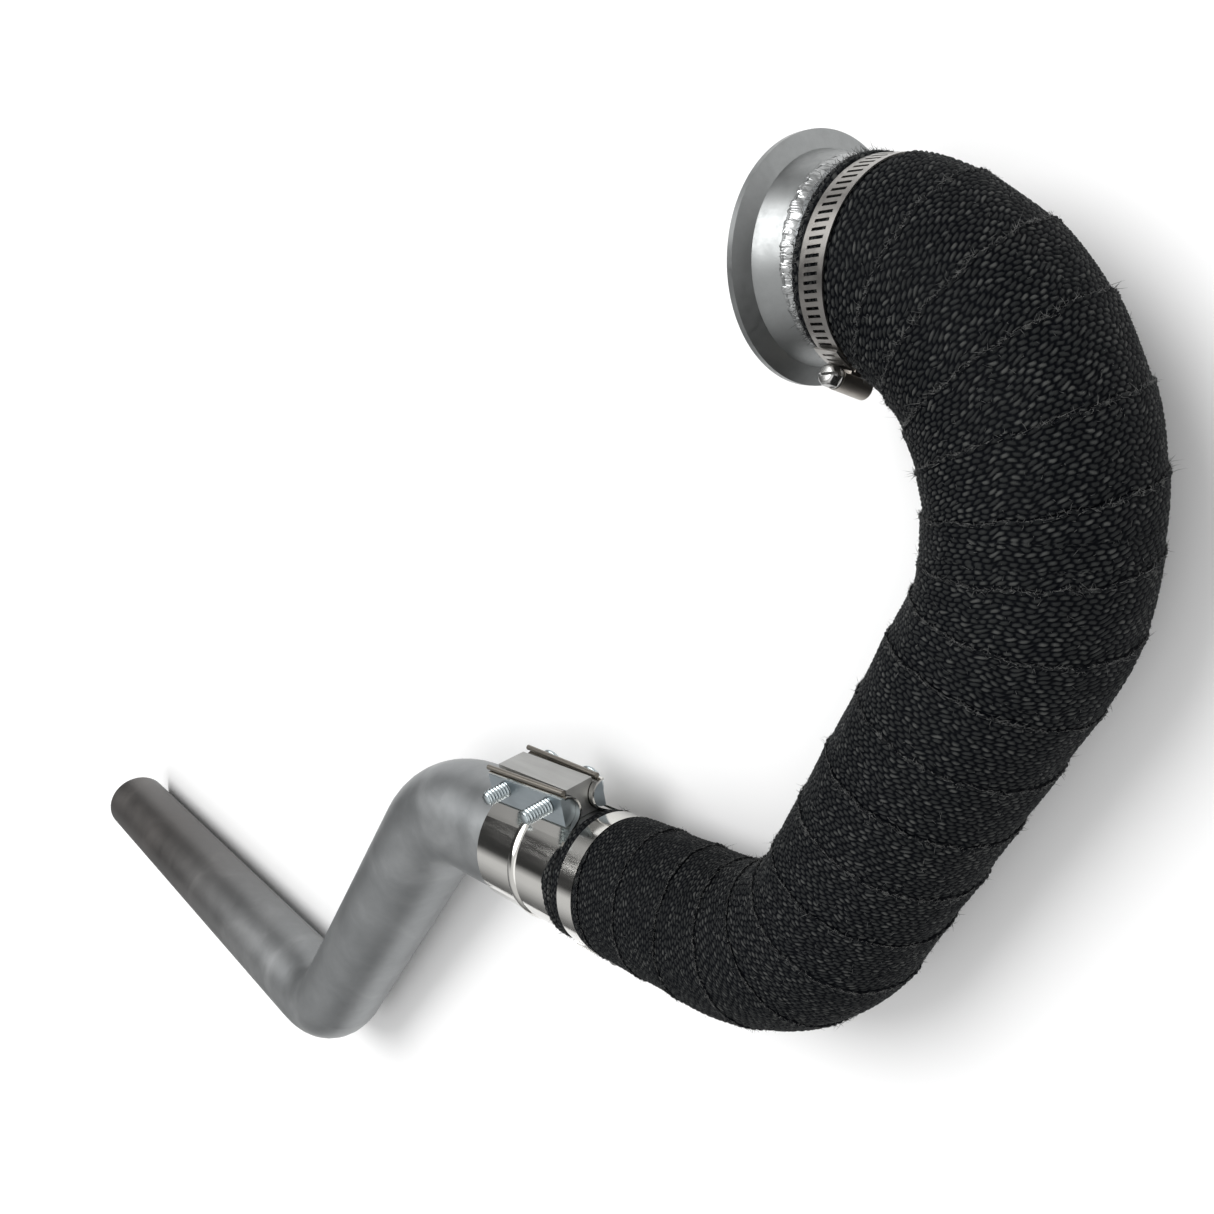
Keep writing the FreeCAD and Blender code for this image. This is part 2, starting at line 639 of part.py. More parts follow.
def strap_ring(leave):
    """The strap round the tubes, with its bead, open between the two loops."""
    low = size("tube_outer") / 2 + size("strap_play")
    high = low + size("strap_thick")
    half, bead, rise = size("strap_wide") / 2, size("bead_wide") / 2, size("bead_rise")

    def bump(radius, start, end, peak):
        ends = [Vector(radius, 0, start), Vector(radius + peak, 0, 0), Vector(radius, 0, end)]
        return Part.Arc(*ends).toShape()

    edges = [
        line_edge(Vector(low, 0, -half), Vector(low, 0, -bead)),
        bump(low, -bead, bead, rise),
        line_edge(Vector(low, 0, bead), Vector(low, 0, half)),
        line_edge(Vector(low, 0, half), Vector(high, 0, half)),
        line_edge(Vector(high, 0, half), Vector(high, 0, bead)),
        bump(high, bead, -bead, rise),
        line_edge(Vector(high, 0, -bead), Vector(high, 0, -half)),
        line_edge(Vector(high, 0, -half), Vector(low, 0, -half)),
    ]
    section = Part.Face(Part.Wire(edges))
    section.rotate(ORIGIN, UP, 180 - leave)
    return section.revolve(ORIGIN, UP, 180 + 2 * leave)


def strap_loop(leave, centre):
    """One end of the strap: off the tube, round the bar's inner side, to its top."""
    low = size("tube_outer") / 2 + size("strap_play")
    high = low + size("strap_thick")
    near = size("bar_outer") / 2 + size("bar_play")
    far = near + size("strap_thick")
    root, facing, stop = leave - size("loop_root"), 180 + leave, size("loop_end")
    edges = [
        arc_edge(low, root, leave),
        line_edge(polar(low, leave), polar(far, facing) + centre),
        arc_edge(far, facing, stop, centre),
        line_edge(polar(far, stop) + centre, polar(near, stop) + centre),
        arc_edge(near, stop, facing, centre),
        line_edge(polar(near, facing) + centre, polar(high, leave)),
        arc_edge(high, leave, root),
        line_edge(polar(high, root), polar(low, root)),
    ]
    return extruded(edges, size("strap_wide"), size("strap_wide") / 2)


def cross_hole(diameter, height, along):
    """A long cylinder across the joint frame, for cutting a bolt hole."""
    start = Vector(-size("rim_outer"), height, along)
    return Part.makeCylinder(diameter / 2, 2 * size("rim_outer"), start, Vector(1, 0, 0))


def bolt_stations():
    middle, half = size("block_shift") - size("bolt_shift"), size("bolt_span") / 2
    return [("near", middle - half), ("far", middle + half)]


def joint_strap():
    """Ring and two loops in one sheet, drilled for the bolts."""
    centre = Vector(size("bar_spread"), size("bar_height"), 0)
    inner = size("tube_outer") / 2 + size("strap_play")
    loop_outer = size("bar_outer") / 2 + size("bar_play") + size("strap_thick")
    slant = math.degrees(math.acos((inner + loop_outer) / centre.Length))
    leave = math.degrees(math.atan2(centre.y, centre.x)) - slant
    front = strap_loop(leave, centre)
    rear = front.mirror(ORIGIN, Vector(1, 0, 0))
    front.Placement = splayed(1).multiply(front.Placement)
    rear.Placement = splayed(-1).multiply(rear.Placement)
    sheet_metal = strap_ring(leave).fuse([front, rear])
    bore = Part.makeCylinder(inner, 2 * size("strap_wide"), Vector(0, 0, -size("strap_wide")))
    holes = [cross_hole(size("strap_hole"), size("bolt_height"), along) for _, along in bolt_stations()]
    strap = doc.addObject("Part::Feature", "strap_sheet")
    strap.Shape = sheet_metal.cut([bore] + holes).removeSplitter()
    return keep(strap, "joint_strap", joint_frame)


def placed_rod(name, start, direction, **expressions):
    item = bound("Part::Cylinder", name, **expressions)
    item.Placement = Placement(start, Rotation(UP, direction))
    return item


def bolt_hole_tools(name, diameter):
    """Two cylinders across the joint frame, one for each bolt."""
    start = -size("rim_outer")
    tools = [placed_rod("%s_%s" % (name, which), Vector(start, size("bolt_height"), along), Vector(1, 0, 0),
                        Radius=diameter, Height="2 * sizes.rim_outer") for which, along in bolt_stations()]
    return fused(name, tools)


def joint_reaction_block():
    """The block between the loops: flat top, hollow sides, saddle foot on the tubes."""
    low = size("block_shift") - size("block_long") / 2
    solid = local_box("block_blank", Vector(-size("block_wide") / 2, 0, low),
                      Length="sizes.block_wide", Width="sizes.block_top", Height="sizes.block_long")
    saddle = placed_rod("block_saddle", Vector(0, 0, low), UP, Height="sizes.block_long",
                        Radius="sizes.tube_outer / 2 + sizes.strap_play")
    swing = math.sin(math.radians(size("bar_splay")))
    groove_centre = size("bar_spread") - (size("strap_wide") / 2 + size("block_shift")) * swing
    cutters = [saddle, bolt_hole_tools("block_bolt_holes", "sizes.bolt_hole / 2")]
    for side, name in ((1, "front"), (-1, "rear")):
        start = Vector(side * groove_centre, size("bar_height"), low)
        cutters.append(placed_rod(
            "block_groove_" + name, start, UP, Height="sizes.block_long",
            Radius="sizes.bar_outer / 2 + sizes.bar_play + sizes.strap_thick + sizes.block_play"))
    block = boolean("Part::Cut", "block_cut", solid, fused("block_cutters", cutters))
    return keep(block, "joint_reaction_block", joint_frame)


def clamp_bar(label, side, hole):
    """A D-section bar in a strap loop, its flat face outwards."""
    low = size("block_shift") - size("bar_long") / 2
    radius = size("bar_outer") / 2
    at = side * size("bar_spread")
    round_side = placed_rod(label + "_round", Vector(at, size("bar_height"), low), UP,
                            Radius="sizes.bar_outer / 2", Height="sizes.bar_long")
    left = at - radius if side > 0 else at - size("bar_flat")
    blank = local_box(label + "_blank", Vector(left, size("bar_height") - radius, low),
                      Length="sizes.bar_outer / 2 + sizes.bar_flat", Width="sizes.bar_outer",
                      Height="sizes.bar_long")
    swung = boolean("Part::Common", label + "_section", round_side, blank)
    swung.Placement = splayed(side)
    tools = bolt_hole_tools(label + "_holes", hole)
    return keep(boolean("Part::Cut", label + "_cut", swung, tools), label, joint_frame)


def strap_rod(label, side):
    """The round rod along the end of a strap loop."""
    reach = (size("bar_outer") + size("rod_outer")) / 2 + size("strap_thick") + 1.5 * size("bar_play")
    rise = math.sqrt(reach ** 2 - size("rod_inset") ** 2)
    low = size("block_shift") + size("rod_shift") - size("rod_long") / 2
    start = Vector(side * (size("bar_spread") - size("rod_inset")), size("bar_height") + rise, low)
    rod = bound("Part::Cylinder", label + "_bar", Radius="sizes.rod_outer / 2", Height="sizes.rod_long")
    local = splayed(side).multiply(Placement(start, Rotation()))
    return keep(rod, label, joint_frame.multiply(local))


def joint_bolt(label, along):
    """A round-headed bolt through both bars, its head behind the rear bar."""
    swing = math.sin(math.radians(size("bar_splay")))
    flat = size("bar_spread") + size("bar_flat") + (along - size("block_shift")) * swing
    seat = -flat - size("head_outer") / 2 * swing - size("head_seat")
    height = size("bolt_height")
    shank = placed_rod(label + "_shank", Vector(seat, height, along), Vector(1, 0, 0),
                       Radius="sizes.bolt_size / 2", Height="sizes.bolt_long")
    dome_radius = (size("head_outer") ** 2 / 4 + size("head_high") ** 2) / (2 * size("head_high"))
    dome = bound("Part::Sphere", label + "_dome",
                 Radius="(sizes.head_outer ^ 2 / 4 + sizes.head_high ^ 2) / (2 * sizes.head_high)")
    dome.Placement = Placement(Vector(seat - size("head_high") + dome_radius, height, along), Rotation())
    cap = placed_rod(label + "_cap", Vector(seat, height, along), Vector(-1, 0, 0),
                     Radius="sizes.head_outer / 2", Height="sizes.head_high")
    head = boolean("Part::Common", label + "_head", dome, cap)
    return keep(fused(label + "_solid", [shank, head]), label, joint_frame)


# ---------------------------------------------------------------- tail pipe


def tail_pipe():
    outer = swept("tail_outer", tail_line, "sizes.tube_outer / 2")
    inner = swept("tail_inner", tail_line, "sizes.tube_outer / 2 - sizes.tube_wall")
    return keep(boolean("Part::Cut", "tail_cut", outer, inner), "tail_pipe")


# ---------------------------------------------------------------- the assembly

inlet_flange()
flange_weld_bead()
downpipe_tube()
upper_frame = upper_band_frame()
upper_radius = upper_band_radius(upper_frame)
heat_wrap(upper_frame, upper_radius)
worm_clamp("upper", upper_frame, upper_radius, size("upper_tail"), size("upper_slotted"))
worm_clamp("lower", lower_band_frame(), lower_band_radius(), size("lower_tail"), size("lower_slotted"))
joint_strap()
joint_reaction_block()
clamp_bar("joint_front_bar", 1, "sizes.bolt_size / 2 + sizes.tapped_play")
clamp_bar("joint_rear_bar", -1, "sizes.bolt_hole / 2")
strap_rod("front_strap_rod", 1)
strap_rod("rear_strap_rod", -1)
for which, along in bolt_stations():
    joint_bolt("joint_bolt_" + which, along)
tail_pipe()

doc.recompute()
for item in doc.Objects:
    if "Invalid" in item.State or "Error" in item.State:
        raise RuntimeError("%s failed to build: %s" % (item.Label, item.State))
for item in subparts:
    if item.Shape.isNull() or not item.Shape.isValid():
        raise RuntimeError("%s has no valid shape" % item.Label)

os.makedirs("parts", exist_ok=True)
for item in subparts:
    item.Shape.exportStep("parts/%s.step" % item.Label)
print("%d sub-parts" % len(subparts))
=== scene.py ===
import json
import math

import bmesh
import bpy
import numpy as np
from mathutils import Matrix, Vector


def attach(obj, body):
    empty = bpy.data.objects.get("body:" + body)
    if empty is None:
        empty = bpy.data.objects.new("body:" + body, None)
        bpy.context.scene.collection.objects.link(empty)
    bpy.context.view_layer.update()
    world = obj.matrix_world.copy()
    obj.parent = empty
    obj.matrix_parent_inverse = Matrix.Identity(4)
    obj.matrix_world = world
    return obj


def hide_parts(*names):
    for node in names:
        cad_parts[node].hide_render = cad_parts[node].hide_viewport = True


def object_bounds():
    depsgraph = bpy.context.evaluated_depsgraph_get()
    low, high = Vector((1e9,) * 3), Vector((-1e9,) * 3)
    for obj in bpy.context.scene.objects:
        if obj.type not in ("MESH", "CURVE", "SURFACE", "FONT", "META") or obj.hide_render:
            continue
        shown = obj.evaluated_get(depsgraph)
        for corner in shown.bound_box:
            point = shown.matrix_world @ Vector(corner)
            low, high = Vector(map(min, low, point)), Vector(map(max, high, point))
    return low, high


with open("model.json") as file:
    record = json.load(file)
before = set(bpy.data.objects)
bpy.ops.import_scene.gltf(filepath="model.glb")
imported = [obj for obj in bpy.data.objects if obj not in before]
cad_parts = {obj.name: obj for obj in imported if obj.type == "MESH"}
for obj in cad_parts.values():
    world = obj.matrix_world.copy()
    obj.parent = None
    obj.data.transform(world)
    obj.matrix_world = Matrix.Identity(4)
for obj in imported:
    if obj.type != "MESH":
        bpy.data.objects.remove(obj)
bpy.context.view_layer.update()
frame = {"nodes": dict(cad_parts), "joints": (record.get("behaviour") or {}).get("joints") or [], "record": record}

# Heat-wrapped exhaust downpipe.  Everything is in metres, in the row frame.  The packed
# model gives the tubes, flange, clamps and bars; this script gives every surface its
# material and models the woven wrap, its frayed edges, the weld and the threads.

rng = np.random.default_rng(827)
MM = 0.001

# ------------------------------------------------------------------ the centre line

TUBE_R = 38.1 * MM
BEND_R = 95.0 * MM
RUNS = [108.5 * MM, 127.0 * MM, 228.5 * MM, 192.0 * MM]
TURNS = [90.0, 26.5, 60.0]
TWISTS = [0.0, -14.0, 9.0]
HEADING, PITCH, ROLL = 175.59, 4.43, -173.89
STEP = 0.5 * MM


def spun(vector, axle, angle):
    """A vector turned about a unit axle by an angle in radians."""
    cos, sin = math.cos(angle), math.sin(angle)
    return vector * cos + np.cross(axle, vector) * sin + axle * np.dot(axle, vector) * (1 - cos)


def start_directions():
    """Direction of the inlet run, and the direction its first bend heads for."""
    heading, pitch, roll = (math.radians(angle) for angle in (HEADING, PITCH, ROLL))
    ahead = np.array([math.cos(pitch) * math.cos(heading),
                      math.cos(pitch) * math.sin(heading),
                      math.sin(pitch)])
    level = np.cross([0, 0, 1], ahead)
    level /= np.linalg.norm(level)
    return ahead, level * math.cos(roll) + np.cross(ahead, level) * math.sin(roll)


class CentreLine:
    """The downpipe's centre line: point, direction, a steady side and the bend, by distance."""

    def __init__(self):
        along, side = start_directions()
        axle = np.cross(along, side)
        point = np.zeros(3)
        rows = []
        for index, run in enumerate(RUNS):
            before = BEND_R * math.tan(math.radians(TURNS[index - 1] / 2)) if index else 0.0
            after = BEND_R * math.tan(math.radians(TURNS[index] / 2)) if index < len(TURNS) else 0.0
            straight = run - before - after
            count = max(1, round(straight / STEP))
            for number in range(count):
                rows.append((straight / count, point + along * straight * number / count,
                             along, side, np.zeros(3)))
            point = point + along * straight
            if index == len(TURNS):
                rows.append((0.0, point, along, side, np.zeros(3)))
                break
            axle = spun(axle, along, math.radians(TWISTS[index]))
            bend = math.radians(TURNS[index])
            count = round(BEND_R * bend / STEP)
            centre = point + np.cross(axle, along) * BEND_R
            for number in range(count):
                angle = bend * number / count
                here = spun(along, axle, angle)
                rows.append((BEND_R * bend / count, centre + spun(point - centre, axle, angle),
                             here, spun(side, axle, angle), np.cross(axle, here) / BEND_R))
            point = centre + spun(point - centre, axle, bend)
            along, side = spun(along, axle, bend), spun(side, axle, bend)
        lengths = np.array([row[0] for row in rows])
        self.distance = np.concatenate([[0.0], np.cumsum(lengths)[:-1]])
        self.columns = [np.array([row[number] for row in rows]) for number in range(1, 5)]
        self.length = self.distance[-1]

    def at(self, distance):
        """Point, direction, first side, second side and curvature at distances."""
        found = [np.stack([np.interp(distance, self.distance, column[:, axis]) for axis in range(3)], -1)
                 for column in self.columns]
        point, along, side, bend = found
        along /= np.linalg.norm(along, axis=-1, keepdims=True)
        side -= along * (along * side).sum(-1, keepdims=True)
        side /= np.linalg.norm(side, axis=-1, keepdims=True)
        return point, along, side, np.cross(along, side), bend


line = CentreLine()
INLET_AXIS, INLET_INWARD = start_directions()


def joint_named(name):
    """The frame's joint of that name."""
    return next(joint for joint in frame["joints"] if joint["name"] == name)


def framed(origin, along, toward):
    """A 4x4 frame with +Z along a direction and +X towards another."""
    across = toward - along * np.dot(toward, along)
    across /= np.linalg.norm(across)
    matrix = np.eye(4)
    matrix[:3, 0], matrix[:3, 1], matrix[:3, 2] = across, np.cross(along, across), along
    matrix[:3, 3] = origin
    return matrix


def placed(matrix, points):
    return points @ matrix[:3, :3].T + matrix[:3, 3]


def round_points(radius, angle, height):
    """Points round the Z axis, from arrays of radius, angle and height."""
    return np.stack([radius * np.cos(angle), radius * np.sin(angle), height], -1)


def skin_directions(place, angle):
    """Centre point, direction, outward and round-the-tube directions at places and angles."""
    point, along, side, other, _ = line.at(place)
    outward = side * np.cos(angle)[:, None] + other * np.sin(angle)[:, None]
    return point, along, outward, np.cross(along, outward)


# ------------------------------------------------------------------ meshes


def mesh_object(name, points, faces, smooth=True):
    """An object from an array of points and an array of quads or a list of faces."""
    mesh = bpy.data.meshes.new(name)
    if isinstance(faces, np.ndarray):
        sides = faces.shape[1]
        mesh.vertices.add(len(points))
        mesh.vertices.foreach_set("co", np.asarray(points, np.float32).ravel())
        mesh.loops.add(faces.size)
        mesh.loops.foreach_set("vertex_index", faces.astype(np.int32).ravel())
        mesh.polygons.add(len(faces))
        mesh.polygons.foreach_set("loop_start", np.arange(len(faces), dtype=np.int32) * sides)
        mesh.update(calc_edges=True)
    else:
        mesh.from_pydata([tuple(point) for point in points], [], faces)
    mesh.validate()
    if smooth:
        mesh.shade_smooth()
    else:
        mesh.shade_flat()
    item = bpy.data.objects.new(name, mesh)
    bpy.context.scene.collection.objects.link(item)
    return item


def grid_faces(rows, columns, closed=True):
    """Quads of a grid, whose columns close on themselves unless told not to."""
    last = columns if closed else columns - 1
    row, column = np.meshgrid(np.arange(rows - 1), np.arange(last), indexing="ij")
    ahead = (column + 1) % columns
    quads = np.stack([row * columns + column, row * columns + ahead,
                      (row + 1) * columns + ahead, (row + 1) * columns + column], -1)
    return quads.reshape(-1, 4)


def smoothstep(low, high, value):
    share = np.clip((value - low) / (high - low), 0.0, 1.0)
    return share * share * (3 - 2 * share)


def wobble(value, seed, octaves=3):
    """A smooth repeatable wander between about -1 and 1, one wave to each unit at first."""
    draw = np.random.default_rng(seed)
    total = np.zeros_like(np.asarray(value, float))
    for octave in range(octaves):
        total += np.sin(2 * math.pi * (value * 1.9 ** octave + draw.random())) * 0.55 ** octave
    return total / 1.6


def with_tone_and_painted_shading(item, tones):
    """Gives a woven piece the tone of its yarns, with their painted shade and painted highlights, point by point,
    for woven_material to read.
    """
    attribute = item.data.attributes.new("tone", "FLOAT", "POINT")
    attribute.data.foreach_set("value", tones.ravel().astype(np.float32))
    return item


def finished(item, material, slot, body, *nodes):
    """Gives a piece its material, the body it rides on and the nodes it replaces; the slot is not used."""
    item.data.materials.append(material)
    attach(item, body)
    if nodes:
        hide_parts(*nodes)
    return item


# ------------------------------------------------------------------ materials


MIX_SHARE, MIX_FIRST, MIX_SECOND, MIX_RESULT = 0, 6, 7, 2    # a Mix node's colour sockets


class Shader:
    """A node material with a Principled surface, built link by link."""

    def __init__(self, name, colour, metallic, roughness):
        self.material = bpy.data.materials.new(name)
        self.material.use_nodes = True
        self.tree = self.material.node_tree
        self.surface = self.tree.nodes["Principled BSDF"]
        self.surface.inputs["Base Color"].default_value = (*colour, 1)
        self.surface.inputs["Metallic"].default_value = metallic
        self.surface.inputs["Roughness"].default_value = roughness
        self.position = self.node("ShaderNodeTexCoord").outputs["Object"]

    def node(self, kind, **settings):
        made = self.tree.nodes.new(kind)
        for key, value in settings.items():
            setattr(made, key, value)
        return made

    def link(self, source, target):
        self.tree.links.new(source, target)

    def noise(self, scale, detail=3.0, roughness=0.5, stretch=None, distortion=0.0):
        texture = self.node("ShaderNodeTexNoise")
        texture.inputs["Scale"].default_value = scale
        texture.inputs["Detail"].default_value = detail
        texture.inputs["Roughness"].default_value = roughness
        texture.inputs["Distortion"].default_value = distortion
        source = self.position
        if stretch is not None:
            mapping = self.node("ShaderNodeMapping")
            mapping.inputs["Scale"].default_value = stretch
            self.link(source, mapping.inputs["Vector"])
            source = mapping.outputs["Vector"]
        self.link(source, texture.inputs["Vector"])
        return texture.outputs["Fac"]

    def ramp(self, source, stops):
        """A colour ramp over (position, colour) stops."""
        ramp = self.node("ShaderNodeValToRGB")
        elements = ramp.color_ramp.elements
        while len(elements) < len(stops):
            elements.new(0.5)
        for element, (place, colour) in zip(elements, stops):
            element.position = place
            element.color = (*colour, 1) if len(colour) == 3 else colour
        self.link(source, ramp.inputs["Fac"])
        return ramp.outputs["Color"]

    def span(self, source, low, high):
        """A value spread between two others as the source goes from 0 to 1."""
        spread = self.node("ShaderNodeMapRange")
        spread.inputs["To Min"].default_value = low
        spread.inputs["To Max"].default_value = high
        self.link(source, spread.inputs["Value"])
        return spread.outputs["Result"]

    def mixed(self, share, first, second, blend="MIX"):
        mix = self.node("ShaderNodeMix", data_type="RGBA", blend_type=blend)
        self.put(mix.inputs[MIX_SHARE], share)
        self.put(mix.inputs[MIX_FIRST], first)
        self.put(mix.inputs[MIX_SECOND], second)
        return mix.outputs[MIX_RESULT]

    def put(self, socket, value):
        if isinstance(value, bpy.types.NodeSocket):
            self.link(value, socket)
        elif isinstance(value, tuple):
            socket.default_value = (*value, 1) if len(value) == 3 else value
        else:
            socket.default_value = value

    def bump(self, height, strength, distance):
        bump = self.node("ShaderNodeBump")
        bump.inputs["Strength"].default_value = strength
        bump.inputs["Distance"].default_value = distance
        self.link(height, bump.inputs["Height"])
        self.link(bump.outputs["Normal"], self.surface.inputs["Normal"])

    def colour(self, source):
        self.link(source, self.surface.inputs["Base Color"])

    def roughness(self, source):
        self.link(source, self.surface.inputs["Roughness"])


def woven_material():
    shader = Shader("woven_wrap", (0.03, 0.032, 0.036), 0.0, 0.72)
    tone = shader.node("ShaderNodeAttribute", attribute_name="tone").outputs["Fac"]
    fibre = shader.noise(900.0, 4.0, 0.6)
    patch = shader.noise(26.0, 2.0, 0.5)
    # The tone attribute holds painted shade between the yarns and painted highlights on their crowns; this ramp
    # turns it into colour.
    base = shader.ramp(tone, [(0.0, (0.0004, 0.0007, 0.0018)), (0.25, (0.0016, 0.0022, 0.0034)),
                              (0.6, (0.026, 0.0275, 0.0275)), (1.0, (0.120, 0.122, 0.116))])
    lit = shader.mixed(shader.span(fibre, 0.0, 0.7), base, (0.0012, 0.0016, 0.0026))
    shader.colour(shader.mixed(shader.span(patch, 0.1, 0.6), lit, base))
    shader.roughness(shader.span(fibre, 0.42, 0.75))
    shader.surface.inputs["Specular IOR Level"].default_value = 0.05
    shader.bump(fibre, 0.5, 0.0003)
    return shader.material


def fray_material():
    shader = Shader("frayed_fibre", (0.07, 0.072, 0.072), 0.0, 0.6)
    shade = shader.noise(420.0, 1.0)
    shader.colour(shader.ramp(shade, [(0.3, (0.012, 0.013, 0.015)), (0.7, (0.15, 0.152, 0.148))]))
    shader.surface.inputs["Specular IOR Level"].default_value = 0.3
    return shader.material


# Where the painted dark brown reflection on the tube starts and ends, along X.
REFLECTION_FROM_X, REFLECTION_TO_X = 0.52, 1.10


def aluminised_material():
    """Dull hot-dip tube: cloudy, and painted darker and browner towards the open end as a painted reflection of
    dark brown surroundings.
    """
    shader = Shader("aluminised_tube", (0.4, 0.41, 0.42), 0.9, 0.45)
    cloud = shader.noise(17.0, 4.0, 0.55, distortion=0.7)
    spangle = shader.noise(110.0, 5.0, 0.6)
    base = shader.ramp(cloud, [(0.30, (0.235, 0.245, 0.25)), (0.55, (0.285, 0.295, 0.30)),
                               (0.74, (0.36, 0.37, 0.375))])
    fine = shader.mixed(shader.span(spangle, 0.0, 0.30), base, (0.4, 0.4, 0.4), "MULTIPLY")
    # Painted dark brown reflection: the colour is multiplied darker and browner as X rises towards the open end.
    split = shader.node("ShaderNodeSeparateXYZ")
    shader.link(shader.position, split.inputs["Vector"])
    far = shader.node("ShaderNodeMapRange", interpolation_type="SMOOTHSTEP")
    far.inputs["From Min"].default_value = REFLECTION_FROM_X
    far.inputs["From Max"].default_value = REFLECTION_TO_X
    shader.link(split.outputs["X"], far.inputs["Value"])
    shader.colour(shader.mixed(far.outputs["Result"], fine, (0.40, 0.365, 0.345), "MULTIPLY"))
    shader.roughness(shader.span(cloud, 0.36, 0.54))
    shader.bump(spangle, 0.12, 0.0004)
    return shader.material


def satin_material(name, colour, roughness, cloudy=0.25, grain=(1, 1, 1), bump=0.05, specks=False):
    """Plain or plated steel, with soft cloudiness and fine drawn grain."""
    shader = Shader(name, colour, 1.0, roughness)
    cloud = shader.noise(38.0, 4.0, 0.6, distortion=0.4)
    lines = shader.noise(260.0, 3.0, 0.7, stretch=grain)
    darker = tuple(value * 0.55 for value in colour)
    tone = shader.mixed(shader.span(cloud, 0.0, cloudy * 2), colour, darker)
    tone = shader.mixed(shader.span(lines, 0.0, cloudy), tone, darker)
    if specks:
        dots = shader.node("ShaderNodeTexVoronoi")
        dots.inputs["Scale"].default_value = 95.0
        shader.link(shader.position, dots.inputs["Vector"])
        spot = shader.ramp(dots.outputs["Distance"], [(0.05, (1, 1, 1)), (0.085, (0, 0, 0))])
        chance = shader.ramp(shader.noise(60.0, 1.0), [(0.62, (0, 0, 0)), (0.66, (1, 1, 1))])
        tone = shader.mixed(shader.mixed(1.0, spot, chance, "MULTIPLY"), tone, (0.03, 0.03, 0.03))
    shader.colour(tone)
    spread = 0.10 + roughness * 0.25
    shader.roughness(shader.span(lines, max(0.03, roughness - spread / 2), roughness + spread))
    shader.bump(lines, bump, 0.0002)
    return shader.material


woven = woven_material()
fray = fray_material()
aluminised = aluminised_material()
FINISHES = {
    "machined_steel": satin_material("machined_steel", (0.34, 0.35, 0.35), 0.36, 0.30,
                                     bump=0.06, specks=True),
    "weld_metal": satin_material("weld_metal", (0.50, 0.51, 0.51), 0.27, 0.40, bump=0.30),
    "aluminised_tube": aluminised,
    "stainless_band": satin_material("stainless_band", (0.40, 0.385, 0.365), 0.30, 0.20, bump=0.03),
    "clamp_housing": satin_material("clamp_housing", (0.40, 0.37, 0.335), 0.30, 0.30, bump=0.08),
    "clamp_screw": satin_material("clamp_screw", (0.46, 0.46, 0.45), 0.25, 0.25, bump=0.05),
    "polished_band": satin_material("polished_band", (0.66, 0.65, 0.62), 0.10, 0.08, (0.08, 1, 1), 0.02),
    "polished_strap": satin_material("polished_strap", (0.66, 0.65, 0.62), 0.09, 0.10, (0.1, 1, 1), 0.02),
    "zinc_block": satin_material("zinc_block", (0.43, 0.43, 0.42), 0.38, 0.26, (0.06, 1, 1), 0.06),
    "zinc_bar": satin_material("zinc_bar", (0.40, 0.45, 0.48), 0.34, 0.34, (0.15, 1, 1), 0.06),
    # The rod's dark brownish colour is a painted reflection of brown surroundings.
    "plain_rod": satin_material("plain_rod", (0.26, 0.24, 0.21), 0.32, 0.34, (0.05, 1, 1), 0.05),
    "zinc_bolt": satin_material("zinc_bolt", (0.50, 0.56, 0.58), 0.24, 0.26, bump=0.05),
}

# ------------------------------------------------------------------ carried-over nodes

slot_of = {entry["node"]: entry["material_slot"] for entry in frame["record"]["subparts"]}
for node, item in frame["nodes"].items():
    finish = FINISHES.get(slot_of[node], aluminised)
    item.data.materials.clear()
    item.data.materials.append(finish)

# ------------------------------------------------------------------ the heat wrap

WRAP_START, WRAP_END = 24.0 * MM, 565.6 * MM   # distances along the centre line
COLLAR_R = 39.9 * MM                           # the wrap pressed flat, beside and under a band
LOW_R, LAYER = 40.3 * MM, 0.75 * MM            # the wrap's lower layer, and the rise to its upper one
CELLS_ROUND = 66.37                            # yarn grains in one turn
CELL_WIDE = 1.9 * MM                           # from one yarn to the next
CELL_HIGH = 0.95 * MM                          # how far a grain stands up
ROWS_PER_TURN, COLUMNS = 78, 400
PIECES = 9
TURN_MARK = 224.0 * MM                         # where turn 0 starts, and the pitch changes
PITCH_UPPER, PITCH_LOWER = 23.0 * MM, 31.2 * MM
FIRST_TURN, LAST_TURN = -10, 12
TURN_PHASE = 0.68                              # share of a turn between angle 0 and the turn's start
EDGE_WANDER = 1.1 * MM                         # slow wander of the tape's edge
EDGE_RAGGED = 0.55 * MM                        # and its small raggedness
HEM = 0.8 * MM                                 # where the raised hem lies behind the edge
UPPER_BAND_REACH = 70 * MM                     # past this place the upper band presses on nothing

UPPER_BAND = {"place": 38.7 * MM, "lean": 9.0, "side": -3.3, "shift": 0.9 * MM, "inner": 40.40 * MM}
LOWER_BAND_PLACE = line.length - 52.8 * MM
BAND_HALF = 6.35 * MM


def upper_band_frame():
    """Frame of the upper band, whose axis leans back towards the flange's."""
    point, along, side, _, _ = line.at(np.array(UPPER_BAND["place"]))
    across = np.cross(along, side)
    axis = spun(along, across, -math.radians(UPPER_BAND["lean"]))
    axis = spun(axis, side, -math.radians(UPPER_BAND["side"]))
    matrix = framed(point, axis, side)
    matrix[:3, 3] += matrix[:3, 0] * UPPER_BAND["shift"]
    return matrix


upper_band = upper_band_frame()

STRAP_HALF, STRAP_R = 37.0 * MM, 39.6 * MM
STRAP_LEAVE = 56.7    # degrees from the clamp's X towards its block, where the strap leaves the tube
BLOCK_CLOCK = 79.7    # degrees about the clamp's axis, from straight up to the block


